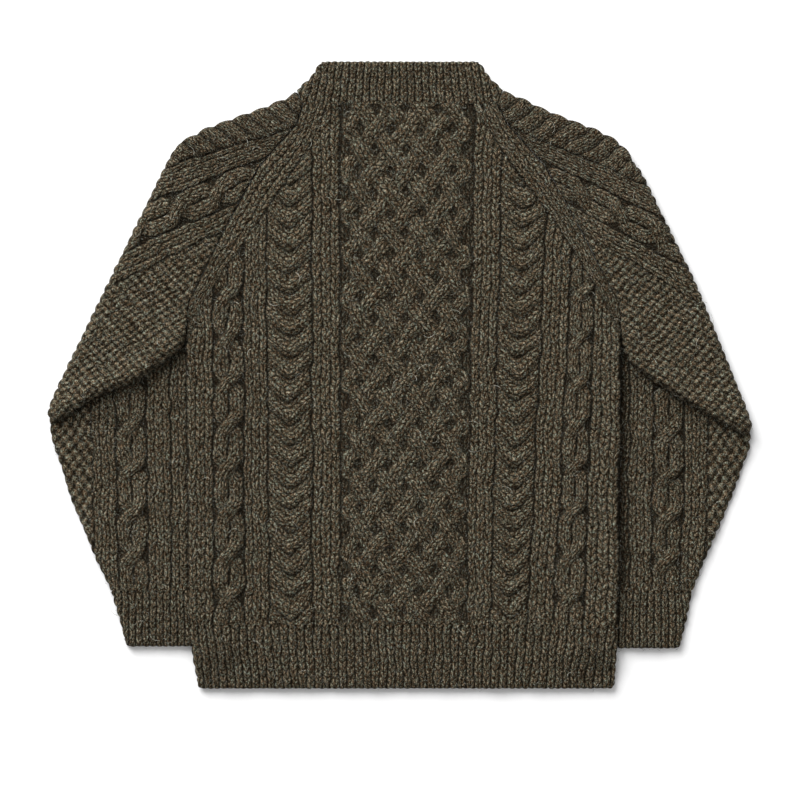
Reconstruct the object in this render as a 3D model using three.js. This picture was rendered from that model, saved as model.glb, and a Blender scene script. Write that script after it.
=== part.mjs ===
// Cable knit sweater with raglan sleeves, lying face down with both sleeves folded under.
// Millimetres. X runs across the garment, Y from hem to neck, Z up from the surface it lies on.
import * as THREE from "three";

// Driving dimensions
const WALL = 3.5; // one layer of plain knit
const GAP = 0.3; // between two pieces
const SHEET = 2 * WALL + GAP; // two layers lying on each other
const LOFT = 1.2; // air between a folded forearm and what lies on it
const DRAPE = 40; // run in which the cloth comes down beside a forearm
const HEM_Y = -344.3;
const WELT_TOP_Y = -274;
const NECK_SEAM_Y = 298;
const NECK_TOP_Y = 344.3;
const NECK_SEAM_HALF = 106.5;
const NECK_TOP_HALF = 86;
const NECK_MIDDLE_Y = 321; // where the band meets the shoulder line
const NECK_MIDDLE_HALF = 102;
const FRONT_NECK_DROP = 80; // how much lower the front neck seam is than the back one
const CUFF_TOP_Y = -236.5;
const CUFF_END_Y = -298;
const ROW = 5.83; // one row of stitches
const WELT_RIB = 7.2; // one knit and one purl stitch of the hem
const CUFF_RIB = 7.7;
const NECK_RIB = 7.8;
const CABLE_ROWS = 8; // rows in a repeat of the plait and the link cable
const V_ROWS = 4; // rows in a repeat of the horseshoe cable
const ROPE_REPEAT = 22; // along the rope cable on the shoulder
const RIB_HEIGHT = 1.9; // what stands out of the purl ground
const WELT_HEIGHT = 1.5;
const EDGE_RELIEF = 0.5; // at the ends of bands
const STRAND = 2.4; // middle height of a cable strand
const CROSSING = 1.4; // how far a strand rises or dips where two cross
const EMERGE = 6; // run in which stitches rise beside what covers them
const SEAM_GAP = 0.6; // between a sleeve and the body, measured across
const COLUMN_SLOPE = 0.4366; // of the upper sleeve's knit columns, in radians
const ELBOW_Y = -27.5; // where the forearm comes out from under the upper sleeve
const FRONT_CLEAR = 0.6; // between the front and the neckband's front part, along Y
const FOLD_STEPS = 5; // round a fold, and parts along it
const FOLD_PARTS = 8;
const CUFF_PLAIN = 4; // parts across the plain underside of a cuff
const PLAIN_STEP = 6 * ROW; // between points of a knit column
// Chains of the sleeve tables that its plain underside keeps
const PLAIN_UPPER = [298, 275, 252, 240, 228, 192, 160, 132.7, 105.3, 78];
const PLAIN_FOREARM = [0.075, 0.25, 0.445];
const WOOL = 0x453f38;
const FIGURE = 0.6; // least part of a step left between a row and a chain's end
const LEVEL = 0.01; // keys closer than this are level with each other

// Vertical bands of the back: where each starts at the hem and at the neck seam
const BANDS = [
  { kind: "side", hem: -231, yoke: -236.3 },
  { kind: "link", hem: -204.6, yoke: -205.7 },
  { kind: "rib", hem: -170.5, yoke: -172.7 },
  { kind: "horseshoe", hem: -143.6, yoke: -148 },
  { kind: "rib", hem: -96.3, yoke: -96.8 },
  { kind: "plait", hem: -64.9, yoke: -66.6 },
  { kind: "rib", hem: 72.6, yoke: 82.5 },
  { kind: "horseshoe", hem: 99.4, yoke: 113.7 },
  { kind: "rib", hem: 140.3, yoke: 166.1 },
  { kind: "link", hem: 168.3, yoke: 196.9 },
  { kind: "side", hem: 201.3, yoke: 220 },
  { kind: "end", hem: 238.7, yoke: 245 },
];

// Chains of points across one band, as parts of its width, and the rows between two points
const WEAVE = {
  side: { across: [0, 1 / 6, 2 / 6, 3 / 6, 4 / 6, 5 / 6], rows: 10 },
  rib: { across: [0, 1 / 6, 2 / 6, 3 / 6, 4 / 6, 5 / 6], rows: 10 },
  link: { across: [0, 0.25, 0.5, 0.75], rows: 1 },
  horseshoe: { across: [0, 0.13, 0.3, 0.5, 0.7, 0.87], rows: 1 },
  plait: { across: [0, ...Array.from({ length: 17 }, (_, k) => 0.03 + (0.94 * k) / 16)], rows: 2 },
};

// The raglan seam of each side, from underarm to neck, with the inner edge of the band
// of slanting knit columns that runs along it
const RAGLAN = {
  left: [
    { x: -235, y: 36, inX: -235, inY: 36 },
    { x: -232, y: 78, inX: -218, inY: 74 },
    { x: -192.5, y: 160, inX: -177, inY: 140 },
    { x: -156, y: 228, inX: -140, inY: 190 },
    { x: -113.5, y: 275, inX: -97, inY: 254 },
    { x: -106.5, y: 298, inX: -80, inY: 298 },
  ],
  right: [
    { x: 243.5, y: 36, inX: 243.5, inY: 36 },
    { x: 240, y: 78, inX: 228, inY: 74 },
    { x: 198, y: 160, inX: 190, inY: 138 },
    { x: 160.5, y: 228, inX: 147, inY: 200 },
    { x: 119, y: 275, inX: 107, inY: 252 },
    { x: 106.5, y: 298, inX: 80, inY: 298 },
  ],
};

// Outlines of each sleeve as it lies. The shoulder line runs from neckband to fold and the underarm
// edge from raglan to fold. The fold has the line it turns about and its rounded outer edge. Then
// the outer and inner edges of the forearm, and the outer edge of the cuff
const SLEEVE = {
  left: {
    shoulder: [[-104, 321], [-111, 317.5], [-123, 303], [-167, 287], [-210, 272], [-240.5, 254.5]],
    turn: [[-240.5, 254.5], [-305.8, 112.6], [-380.8, -41.6]],
    fold: [[-247.5, 247.5], [-313, 116], [-388.3, -44]],
    underarm: [[-235.6, 36], [-242, 28], [-284, -4.5], [-333, -22], [-380.8, -41.6]],
    outer: [
      [-380.8, -41.6], [-384, -67], [-372, -98], [-364, -129], [-351, -160], [-332, -206], [-317, -236.5],
    ],
    inner: [[-240.5, 254.5], [-220, 93.5], [-199, -44], [-196, -236.5]],
    cuff: [[-317, -236.5], [-308, -267], [-300.5, -298]],
  },
  right: {
    shoulder: [[104, 321], [112, 317.5], [134, 303], [168, 287], [208, 272], [241, 256.5], [256.5, 233]],
    turn: [[256.5, 233], [316.8, 98.5], [380, -59]],
    fold: [[263, 225.5], [324, 102], [387.5, -60]],
    underarm: [[244.1, 36], [247, 15], [288, -13], [328, -37.5], [380, -59]],
    outer: [[380, -59], [384, -82], [376, -99], [366, -129], [353, -160], [333, -206], [321, -236.5]],
    inner: [[256.5, 233], [220, 93.5], [199, -56], [202, -236.5]],
    cuff: [[321, -236.5], [314.5, -267], [307, -298]],
  },
};

// Chains of the upper sleeve from raglan to fold: height on the raglan, and part of the fold
const UPPER_CHAINS = [
  { kind: "rope", seamY: 298, fold: 0.035, c: -0.33 },
  { kind: "rope", seamY: 275, fold: 0.07, c: 0.33 },
  { kind: "groove", seamY: 252, fold: 0.1, c: 0 },
  { kind: "rib", seamY: 250, fold: 0.118, c: 0.5 / 3 },
  { kind: "rib", seamY: 248, fold: 0.137, c: 1 / 3 },
  { kind: "rib", seamY: 246, fold: 0.155, c: 0.5 },
  { kind: "rib", seamY: 244, fold: 0.173, c: 2 / 3 },
  { kind: "rib", seamY: 242, fold: 0.192, c: 2.5 / 3 },
  { kind: "groove", seamY: 240, fold: 0.21, c: 0 },
  { kind: "link", seamY: 228, fold: 0.255, c: -0.5 },
  { kind: "link", seamY: 216, fold: 0.3, c: 0 },
  { kind: "link", seamY: 204, fold: 0.345, c: 0.5 },
  { kind: "groove", seamY: 192, fold: 0.39, c: 0 },
  { kind: "rib", seamY: 186.7, fold: 0.412, c: 0.5 / 3 },
  { kind: "rib", seamY: 181.3, fold: 0.433, c: 1 / 3 },
  { kind: "rib", seamY: 176, fold: 0.455, c: 0.5 },
  { kind: "rib", seamY: 170.7, fold: 0.477, c: 2 / 3 },
  { kind: "rib", seamY: 165.3, fold: 0.498, c: 2.5 / 3 },
  { kind: "groove", seamY: 160, fold: 0.52, c: 0 },
  { kind: "moss", seamY: 132.7, fold: 0.62, c: 0 },
  { kind: "moss", seamY: 105.3, fold: 0.73, c: 0 },
  { kind: "moss", seamY: 78, fold: 0.85, c: 0 },
];

// Chains of the forearm from fold to cuff: part of the fold, then X at the elbow and at the cuff,
// both measured out from the garment's middle
const FOREARM_CHAINS = [
  { kind: "groove", fold: 0.04, elbow: 252, cuff: 250.8, c: 0 },
  { kind: "rib", fold: 0.075, elbow: 256.5, cuff: 255, c: 0.5 / 3 },
  { kind: "rib", fold: 0.11, elbow: 261, cuff: 259.2, c: 1 / 3 },
  { kind: "rib", fold: 0.145, elbow: 265.5, cuff: 263.3, c: 0.5 },
  { kind: "rib", fold: 0.18, elbow: 270, cuff: 267.5, c: 2 / 3 },
  { kind: "rib", fold: 0.215, elbow: 274.5, cuff: 271.7, c: 2.5 / 3 },
  { kind: "groove", fold: 0.25, elbow: 279, cuff: 275.8, c: 0 },
  { kind: "link", fold: 0.315, elbow: 287.7, cuff: 284, c: -0.5 },
  { kind: "link", fold: 0.38, elbow: 296.3, cuff: 292.2, c: 0 },
  { kind: "link", fold: 0.445, elbow: 305, cuff: 300.3, c: 0.5 },
  { kind: "groove", fold: 0.51, elbow: 313.5, cuff: 308.5, c: 0 },
];

const lerp = (a, b, f) => a + (b - a) * f;
const clamp = (v, low, high) => Math.min(Math.max(v, low), high);
const first = (chain) => chain[0];
const last = (chain) => chain[chain.length - 1];
const mix = (a, b, f) => a.map((value, axis) => lerp(value, b[axis], f));

function smooth(f) {
  const g = clamp(f, 0, 1);
  return g * g * (3 - 2 * g);
}

// The point at part f of a line's length
function along(line, f) {
  const runs = line.slice(1).map((p, i) => Math.hypot(p[0] - line[i][0], p[1] - line[i][1]));
  let left = clamp(f, 0, 1) * runs.reduce((sum, run) => sum + run, 0);
  for (let i = 0; i < runs.length; i += 1) {
    if (left <= runs[i]) return mix(line[i], line[i + 1], left / runs[i]);
    left -= runs[i];
  }
  return line[runs.length];
}

// The point where a line reaches a height
function atHeight(line, y) {
  for (let i = 1; i < line.length; i += 1) {
    const [a, b] = [line[i - 1], line[i]];
    if ((a[1] - y) * (b[1] - y) <= 0 && a[1] !== b[1]) return mix(a, b, (y - a[1]) / (b[1] - a[1]));
  }
  return line[line.length - 1];
}

// Where the segment from a to b crosses a line, or null
function crossing(a, b, line) {
  for (let i = 1; i < line.length; i += 1) {
    const [c, d] = [line[i - 1], line[i]];
    const det = (b[0] - a[0]) * (d[1] - c[1]) - (b[1] - a[1]) * (d[0] - c[0]);
    if (det === 0) continue;
    const f = ((c[0] - a[0]) * (d[1] - c[1]) - (c[1] - a[1]) * (d[0] - c[0])) / det;
    const g = ((c[0] - a[0]) * (b[1] - a[1]) - (c[1] - a[1]) * (b[0] - a[0])) / det;
    if (f > 0 && f <= 1 && g >= 0 && g <= 1) return mix(a, b, f);
  }
  return null;
}

// How far a point is from the segment from a to b
function offLine([x, y], a, b) {
  const run = (b[0] - a[0]) ** 2 + (b[1] - a[1]) ** 2;
  const f = clamp(((x - a[0]) * (b[0] - a[0]) + (y - a[1]) * (b[1] - a[1])) / run, 0, 1);
  return Math.hypot(x - lerp(a[0], b[0], f), y - lerp(a[1], b[1], f));
}

// How far a point is from a closed outline, zero inside it
function outside(x, y, outline) {
  let inside = false;
  let least = Infinity;
  outline.forEach((a, i) => {
    const b = outline[(i + 1) % outline.length];
    if (a[1] > y !== b[1] > y && x < a[0] + ((b[0] - a[0]) * (y - a[1])) / (b[1] - a[1])) inside = !inside;
    least = Math.min(least, offLine([x, y], a, b));
  });
  return inside ? 0 : least;
}

const FOREARMS = Object.values(SLEEVE).map((side) => [
  ...side.inner,
  [last(side.inner)[0], CUFF_END_Y],
  [1.2 * last(side.cuff)[0], CUFF_END_Y],
  [1.1 * last(side.fold)[0], last(side.fold)[1]],
]);

// Height of the cloth's underside: on a forearm, and from there down to the ground
function lift(x, y) {
  const near = Math.min(...FOREARMS.map((outline) => outside(x, y, outline)));
  return (SHEET + LOFT) * (1 - smooth(near / DRAPE));
}

const dome = (d) => Math.sqrt(Math.max(0, 1 - d * d));
const apart = (v) => Math.abs(v - Math.round(v)); // from a whole number

// Heights over the purl ground. c runs across a band and s along it, in millimetres
const RELIEF = {
  groove: () => 0,
  moss: () => RIB_HEIGHT * 0.6,
  side: (c) => RELIEF.rib(c),
  // Three knit columns side by side
  rib: (c) => RIB_HEIGHT * (0.35 + 0.65 * Math.abs(Math.sin(3 * Math.PI * c))),
  // Two strands side by side that change places, the rising one on top
  link: (c, s) => {
    const turn = s / (CABLE_ROWS * ROW);
    const near = 1 - smooth(apart(turn) / 0.3);
    const side = Math.sin(Math.PI * clamp((turn - Math.round(turn)) / 0.4, -0.5, 0.5)) * 0.5;
    const over = (STRAND + CROSSING * near) * dome((c - side) / 0.5);
    const under = (STRAND - CROSSING * near) * dome((c + side) / 0.5);
    return Math.max(over, under) * (1 - 0.25 * near * Math.abs(c));
  },
  // Nested arms that meet in the middle and rise outwards
  horseshoe: (c, s) => {
    const turn = s / (V_ROWS * ROW) - Math.abs(c);
    return (0.5 + (STRAND + 0.9) * Math.sin(Math.PI * (turn - Math.floor(turn)))) * (1 - Math.abs(c) ** 6);
  },
  // Eight strands that pass over and under each other, turning back at both edges
  plait: (c, s) => {
    const a = clamp((c + 0.94) / 0.47, 0, 4);
    const b = s / (CABLE_ROWS * ROW);
    const rise = 0.5 * (Math.cos(2 * Math.PI * a) + Math.cos(2 * Math.PI * b));
    const up = (STRAND + CROSSING * rise) * dome(apart(b - a) / 0.28);
    const down = (STRAND - CROSSING * rise) * dome(apart(b + a) / 0.28);
    return Math.max(up, down, 0.2) * (Math.abs(c) > 0.99 ? 0 : 1);
  },
  // Slanting lumps
  rope: (c, s) => 1 + STRAND * Math.abs(Math.sin(Math.PI * (s / ROPE_REPEAT + 0.3 * c))),
};

// A closed body gathered from triangles, with its faces turned outwards at the end
class Body {
  constructor(name) {
    this.name = name;
    this.points = [];
    this.faces = [];
  }

  point(x, y, z, key = y) {
    this.points.push(x, y, z);
    return { x, y, z, key, id: this.points.length / 3 - 1 };
  }

  face(a, b, c) {
    if (a.id !== b.id && b.id !== c.id && a.id !== c.id) this.faces.push([a.id, b.id, c.id]);
  }

  // The strip between two chains, taken up in the order of their keys
  zip(left, right) {
    let i = 0;
    let j = 0;
    while (i < left.length - 1 || j < right.length - 1) {
      const a = left[i + 1];
      const b = right[j + 1];
      const level = a && b && Math.abs(a.key - b.key) < LEVEL;
      const ridge = level && a.z + right[j].z >= b.z + left[i].z;
      if (a && (!b || ridge || (!level && a.key < b.key))) {
        this.face(left[i], a, right[j]);
        i += 1;
      } else {
        this.face(left[i], right[j], b);
        j += 1;
      }
    }
  }

  // The same between two edges, taken up by parts of their lengths
  hem(left, right) {
    this.zip(measured(left), measured(right));
  }

  // Two rings of equally many points
  ring(a, b, closed) {
    for (let i = closed ? 0 : 1; i < a.length; i += 1) {
      const before = (i + a.length - 1) % a.length;
      this.face(a[before], a[i], b[i]);
      this.face(a[before], b[i], b[before]);
    }
  }

  surface(chains) {
    for (let i = 1; i < chains.length; i += 1) this.zip(chains[i - 1], chains[i]);
  }

  // Closes a loop of points with triangles from its middle
  cap(loop) {
    const middle = [0, 1, 2].map((axis) => {
      const sum = loop.reduce((total, p) => total + [p.x, p.y, p.z][axis], 0);
      return sum / loop.length;
    });
    const hub = this.point(...middle);
    loop.forEach((p, i) => this.face(hub, p, loop[(i + 1) % loop.length]));
  }

  // Every face is turned like its neighbour, and all of them outwards
  turned() {
    const edges = new Map();
    this.faces.forEach((face, f) => {
      face.forEach((a, i) => {
        const b = face[(i + 1) % 3];
        const key = Math.min(a, b) * 1e6 + Math.max(a, b);
        edges.set(key, [...(edges.get(key) ?? []), f]);
      });
    });
    for (const [key, pair] of edges) {
      if (pair.length !== 2) {
        const [a, b] = [Math.floor(key / 1e6), key % 1e6];
        const at = [...this.points.slice(3 * a, 3 * a + 3), ...this.points.slice(3 * b, 3 * b + 3)];
        throw new Error(`${this.name}: ${pair.length} faces on the edge ${at.map((v) => v.toFixed(1))}`);
      }
    }
    const done = new Array(this.faces.length).fill(false);
    const queue = [0];
    done[0] = true;
    while (queue.length) {
      const f = queue.pop();
      this.faces[f].forEach((a, i) => {
        const b = this.faces[f][(i + 1) % 3];
        const pair = edges.get(Math.min(a, b) * 1e6 + Math.max(a, b));
        const other = pair[0] === f ? pair[1] : pair[0];
        if (done[other]) return;
        const face = this.faces[other];
        if (face[(face.indexOf(a) + 1) % 3] === b) face.reverse();
        done[other] = true;
        queue.push(other);
      });
    }
    const corner = (id) => new THREE.Vector3(...this.points.slice(3 * id, 3 * id + 3));
    const volumes = this.faces.map(([a, b, c]) => corner(a).dot(corner(b).cross(corner(c))));
    if (volumes.reduce((sum, volume) => sum + volume, 0) < 0) this.faces.forEach((face) => face.reverse());
    return this.faces.flat();
  }

  mesh() {
    const geometry = new THREE.BufferGeometry();
    geometry.setAttribute("position", new THREE.Float32BufferAttribute(this.points, 3));
    geometry.setIndex(this.turned());
    geometry.computeVertexNormals();
    const wool = new THREE.MeshStandardMaterial({ color: WOOL, roughness: 0.95, metalness: 0 });
    const mesh = new THREE.Mesh(geometry, wool);
    mesh.name = this.name;
    return mesh;
  }
}

// A chain whose keys are thousandths of its own length
function measured(chain) {
  let run = 0;
  const runs = chain.map((p, i) => {
    if (i) run += Math.hypot(p.x - chain[i - 1].x, p.y - chain[i - 1].y) + 1e-6;
    return run;
  });
  return chain.map((p, i) => ({ ...p, key: (1000 * runs[i]) / (run || 1) }));
}

// Positions from one end of a line to the other, a step apart in their keys
function rows(line, step, key, phase = 0) {
  const [start, end] = [key(...line[0]), key(...last(line))];
  const found = [];
  for (let k = Math.ceil((start - phase) / step); phase + k * step < end; k += 1) {
    const value = phase + k * step;
    if (value - start < FIGURE * step || end - value < FIGURE * step) continue;
    let low = 0;
    let high = 1;
    for (let i = 0; i < 30; i += 1) {
      const f = (low + high) / 2;
      if (key(...along(line, f)) < value) low = f;
      else high = f;
    }
    found.push(along(line, low));
  }
  return [line[0], ...found, last(line)];
}

// Directions out of an outline in plan, one at each of its points
function outwards(line, closed) {
  const n = line.length;
  const normals = line.map((p, i) => {
    const before = closed ? line[(i + n - 1) % n] : line[Math.max(i - 1, 0)];
    const after = closed ? line[(i + 1) % n] : line[Math.min(i + 1, n - 1)];
    const run = Math.hypot(after.x - before.x, after.y - before.y) || 1;
    return [(after.y - before.y) / run, (before.x - after.x) / run];
  });
  const midX = line.reduce((sum, p) => sum + p.x, 0) / n;
  const midY = line.reduce((sum, p) => sum + p.y, 0) / n;
  const facing = normals.reduce((sum, [x, y], i) => sum + x * (line[i].x - midX) + y * (line[i].y - midY), 0);
  return normals.map(([x, y]) => [x * Math.sign(facing), y * Math.sign(facing)]);
}

// The wall round a sheet. Each side has a fine upper and a coarse lower edge, and the rings
// between them stand out or in by so much at such a part of the height
function wall(body, sides, rings, closed) {
  const lower = sides.flatMap((side, i) => (i ? side.lower.slice(1) : side.lower));
  if (closed) lower.pop();
  const normals = outwards(lower, closed);
  const upper = sides.flatMap((side, i) => (i ? side.upper.slice(1) : side.upper));
  // A seam's wall is upright: only a free edge swells and dips
  const free = sides.flatMap((side, i) => side.lower.slice(i ? 1 : 0).map((p, k, all) => {
    const next = sides[i + 1] ?? (closed ? sides[0] : { seam: true });
    const start = i === 0 && k === 0 && (!closed || last(sides).seam);
    return !side.seam && !start && !(next.seam && k === all.length - 1);
  }));
  const heightOver = (p) => {
    const nearest = upper.reduce((best, q) => {
      return Math.hypot(q.x - p.x, q.y - p.y) < Math.hypot(best.x - p.x, best.y - p.y) ? q : best;
    });
    return nearest.z - p.z;
  };
  const bands = rings.map((ring) => lower.map((p, i) => {
    const reach = free[i] ? ring.out : 0;
    const z = p.z + ring.level * heightOver(p);
    return body.point(p.x + normals[i][0] * reach, p.y + normals[i][1] * reach, z);
  }));
  bands.push(lower);
  for (let r = 1; r < bands.length; r += 1) body.ring(bands[r - 1], bands[r], closed);
  let at = 0;
  for (const side of sides) {
    const count = side.lower.length;
    const stretch = Array.from({ length: count }, (_, k) => bands[0][(at + k) % lower.length]);
    body.hem(side.upper, stretch);
    at += count - 1;
  }
  return bands;
}

// A sheet between an upper and a lower surface, walled all round
function sheet(name, makeUpper, makeLower, rings, seams) {
  const body = new Body(name);
  const upper = makeUpper(body);
  const lower = makeLower(body);
  body.surface(upper);
  body.surface(lower);
  const sides = [
    { upper: upper.map(first), lower: lower.map(first), seam: seams.start },
    { upper: last(upper), lower: last(lower) },
    { upper: upper.map(last).reverse(), lower: lower.map(last).reverse(), seam: seams.end },
    { upper: [...upper[0]].reverse(), lower: [...lower[0]].reverse() },
  ];
  wall(body, sides, rings, true);
  return body.mesh();
}

// Rings of a free edge: one layer of cloth is rounded, two have a groove between them
const ONE_LAYER = [{ out: 1.2, level: 0.5 }];
const TWO_LAYERS = [{ out: 1.6, level: 0.76 }, { out: -1.5, level: 0.5 }, { out: 1.6, level: 0.24 }];

// Plain surfaces of front and back: parts of each raglan stretch and of the neck seam that chains
// start from, and the heights of their points
const RAGLAN_STEPS = [1, 5, 4, 3, 2];
const NECK_STEPS = 10;
const PLAIN_ROWS = [-200, -120, -44, 20, 60, 93, 130, 170, 230];
const TOP_CLEAR = 12; // least distance from such a point to the seam

function raglanPoints(rows) {
  const line = rows.map((row) => [row.x, row.y]);
  return [line[0], ...RAGLAN_STEPS.flatMap((steps, i) => {
    return Array.from({ length: steps }, (_, k) => mix(line[i], line[i + 1], (k + 1) / steps));
  })];
}

// The body is a little narrower at the hem than at the underarms
const WAIST = { from: 190, to: 235, narrower: 4.5 };

function hemX(x) {
  const part = clamp((Math.abs(x) - WAIST.from) / (WAIST.to - WAIST.from), 0, 1);
  return x - Math.sign(x) * WAIST.narrower * part;
}

// Front neck curve: 0 at the neck corners and 1 in the middle
const scoop = (f) => (1 - f * f) ** 0.7;

function plainChains(body, height, scooped) {
  const neck = Array.from({ length: NECK_STEPS - 1 }, (_, k) => {
    const f = (2 * (k + 1)) / NECK_STEPS - 1;
    return [f * NECK_SEAM_HALF, NECK_SEAM_Y - (scooped ? FRONT_NECK_DROP * scoop(f) : 0)];
  });
  const tops = [...raglanPoints(RAGLAN.left), ...neck, ...raglanPoints(RAGLAN.right).reverse()];
  return tops.map((top) => {
    const foot = [hemX(top[0]), WELT_TOP_Y];
    const levels = PLAIN_ROWS.filter((y) => y < top[1] - TOP_CLEAR);
    const line = [foot, ...levels.map((y) => mix(foot, top, (y - foot[1]) / (top[1] - foot[1]))), top];
    return line.map(([x, y]) => body.point(x, y, height(x, y)));
  });
}

// The inner edge of the slanting knit bands, from underarm over the neck to underarm
const YOKE_LINE = [...RAGLAN.left, ...[...RAGLAN.right].reverse()].map((p) => [p.inX, p.inY]);
const SLANT_STEPS = 6;
const SNAP = 3; // a chain that ends this near a corner of a line ends in it

// Lines of the back from the hem rib to the neck seam, with each one's place in its band
function backLines() {
  return BANDS.slice(0, -1).flatMap(({ kind, hem, yoke }, i) => {
    const next = BANDS[i + 1];
    const plain = kind === "rib" || kind === "side";
    return WEAVE[kind].across.map((part) => ({
      kind: part ? kind : "groove",
      c: plain ? part : 2 * part - 1,
      step: WEAVE[kind].rows * ROW,
      foot: [lerp(hem, next.hem, part), WELT_TOP_Y],
      head: [lerp(yoke, next.yoke, part), NECK_SEAM_Y + 1],
    }));
  });
}

// Chains of points up those lines as far as the yoke line
function backColumns(body) {
  const columns = backLines().map((line, i) => {
    const met = i ? crossing(line.foot, line.head, YOKE_LINE) : YOKE_LINE[0];
    const top = YOKE_LINE.find((p) => Math.hypot(p[0] - met[0], p[1] - met[1]) < SNAP) ?? met;
    const skew = line.kind === "horseshoe" ? Math.abs(line.c) * V_ROWS * ROW : 0;
    const points = rows([line.foot, top], line.step, (x, y) => y - skew);
    return points.map(([x, y], k) => {
      const end = k === 0 || k === points.length - 1;
      const relief = end ? EDGE_RELIEF : RELIEF[line.kind](line.c, y);
      return body.point(x, y, lift(x, y) + SHEET + relief, y - skew);
    });
  });
  const edge = rows([[last(BANDS).hem, WELT_TOP_Y], last(YOKE_LINE)], WEAVE.side.rows * ROW, (x, y) => y);
  columns.push(edge.map(([x, y]) => body.point(x, y, lift(x, y) + SHEET + EDGE_RELIEF)));
  return columns;
}

// The surface between columns. A corner of the yoke line that no column ends in becomes a point
// of its own beside the column that stands lower
function joinColumns(body, columns) {
  const yoke = columns.map(last);
  const risers = columns.map((column) => column);
  const fallers = columns.map((column) => column);
  for (const [x, y] of YOKE_LINE.slice(1, -1)) {
    const after = yoke.findIndex((p) => p.x > x);
    const beside = [yoke[after - 1], yoke[after]];
    if (beside.some((p) => Math.hypot(p.x - x, p.y - y) < SNAP)) continue;
    const knot = body.point(x, y, lift(x, y) + SHEET + EDGE_RELIEF);
    const rising = beside[0].y < beside[1].y;
    const chains = rising ? risers : fallers;
    const i = columns.findIndex((column) => last(column) === beside[rising ? 0 : 1]);
    chains[i] = [...columns[i], knot];
    yoke.splice(after, 0, knot);
  }
  for (let i = 1; i < columns.length; i += 1) body.zip(risers[i - 1], fallers[i]);
  return yoke;
}

// The slanting band of one side: from each point of the yoke line across to the raglan seam
function slantBand(body, yoke, raglan) {
  const inner = raglan.map((row) => [row.inX, row.inY]);
  const seam = raglan.map((row) => [row.x, row.y]);
  return yoke.map((p) => {
    const i = inner.findIndex((_, k) => k && offLine([p.x, p.y], inner[k - 1], inner[k]) < 0.2);
    const f = (p.y - inner[i - 1][1]) / (inner[i][1] - inner[i - 1][1]);
    const end = mix(seam[i - 1], seam[i], f);
    if (Math.hypot(end[0] - p.x, end[1] - p.y) < 1) return [{ ...p, key: 0 }];
    const ring = [{ ...p, key: 0 }];
    for (let k = 1; k <= SLANT_STEPS; k += 1) {
      const [x, y] = mix([p.x, p.y], end, k / SLANT_STEPS);
      const relief = k === SLANT_STEPS ? EDGE_RELIEF : RELIEF.rib(k / SLANT_STEPS);
      ring.push(body.point(x, y, lift(x, y) + SHEET + relief, k));
    }
    return ring;
  });
}

// The back: cabled columns up to the yoke line, then the slanting bands along both raglans
function back() {
  const body = new Body("back");
  const columns = backColumns(body);
  const yoke = joinColumns(body, columns);
  const leftTop = yoke.findIndex((p) => p.y > NECK_SEAM_Y - LEVEL);
  const rightTop = yoke.findLastIndex((p) => p.y > NECK_SEAM_Y - LEVEL);
  const left = slantBand(body, yoke.slice(0, leftTop + 1), RAGLAN.left);
  const right = slantBand(body, yoke.slice(rightTop).reverse(), RAGLAN.right);
  body.surface(left);
  body.surface(right);
  const rim = [
    ...left.map(last), ...last(left).slice(0, -1).reverse(), ...yoke.slice(leftTop + 1, rightTop),
    ...last(right), ...right.slice(0, -1).map(last).reverse(),
  ];
  const under = plainChains(body, (x, y) => lift(x, y) + WALL + GAP, false);
  body.surface(under);
  const sides = [
    { upper: columns.map(first), lower: under.map(first), seam: true },
    { upper: last(columns), lower: last(under) },
    { upper: [...rim].reverse(), lower: under.map(last).reverse(), seam: true },
    { upper: [...columns[0]].reverse(), lower: [...under[0]].reverse() },
  ];
  wall(body, sides, ONE_LAYER, true);
  return body.mesh();
}

// The front: plain, under the back, with the lower neck in its upper edge
function front() {
  const upper = (body) => plainChains(body, (x, y) => lift(x, y) + WALL, true);
  const lower = (body) => plainChains(body, lift, true);
  return sheet("front", upper, lower, ONE_LAYER, { start: true, end: true });
}

// Side edges of the hem ribs from their seam down to the hem, and heights between where they bend
const WELT_SIDES = [
  { y: WELT_TOP_Y - GAP, left: -231, right: 238.7 },
  { y: -304, left: -228, right: 237.5 },
  { y: HEM_Y, left: -221.5, right: 234.5 },
];
const WELT_ROWS = [-336, -324, -311, -298];
const WELT_ENDS = Array.from({ length: 9 }, (_, k) => 0.026 * k); // parts of the width over a forearm
const WELT_PARTS = [...WELT_ENDS, 0.35, 0.5, 0.66, ...WELT_ENDS.map((part) => 1 - part).reverse()];

function weltChains(body, parts, height, everywhere) {
  const leftSide = WELT_SIDES.map((row) => [row.left, row.y]);
  const rightSide = WELT_SIDES.map((row) => [row.right, row.y]);
  return parts.map((part) => {
    const at = (y) => mix(atHeight(leftSide, y), atHeight(rightSide, y), part);
    const sloping = everywhere || lift(...at(last(WELT_ROWS))) > 0;
    const levels = [HEM_Y, ...(sloping ? WELT_ROWS : []), WELT_TOP_Y - GAP];
    return levels.map((y) => body.point(at(y)[0], y, height(at(y)[0], y, part)));
  });
}

// A hem rib: knit columns stand out of its upper surface where that shows
function hemRib(name, level, ribbed) {
  const ribs = Math.round((WELT_SIDES[0].right - WELT_SIDES[0].left) / WELT_RIB);
  const fine = Array.from({ length: 2 * ribs + 1 }, (_, k) => k / (2 * ribs));
  const rise = (part) => (ribbed ? WELT_HEIGHT * Math.abs(Math.sin(Math.PI * ribs * part)) : 0);
  const top = (x, y, part) => lift(x, y) + level + WALL + rise(part);
  const upper = (body) => weltChains(body, ribbed ? fine : WELT_PARTS, top, !ribbed);
  const lower = (body) => weltChains(body, WELT_PARTS, (x, y) => lift(x, y) + level, true);
  return sheet(name, upper, lower, ONE_LAYER, { end: true });
}

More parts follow.
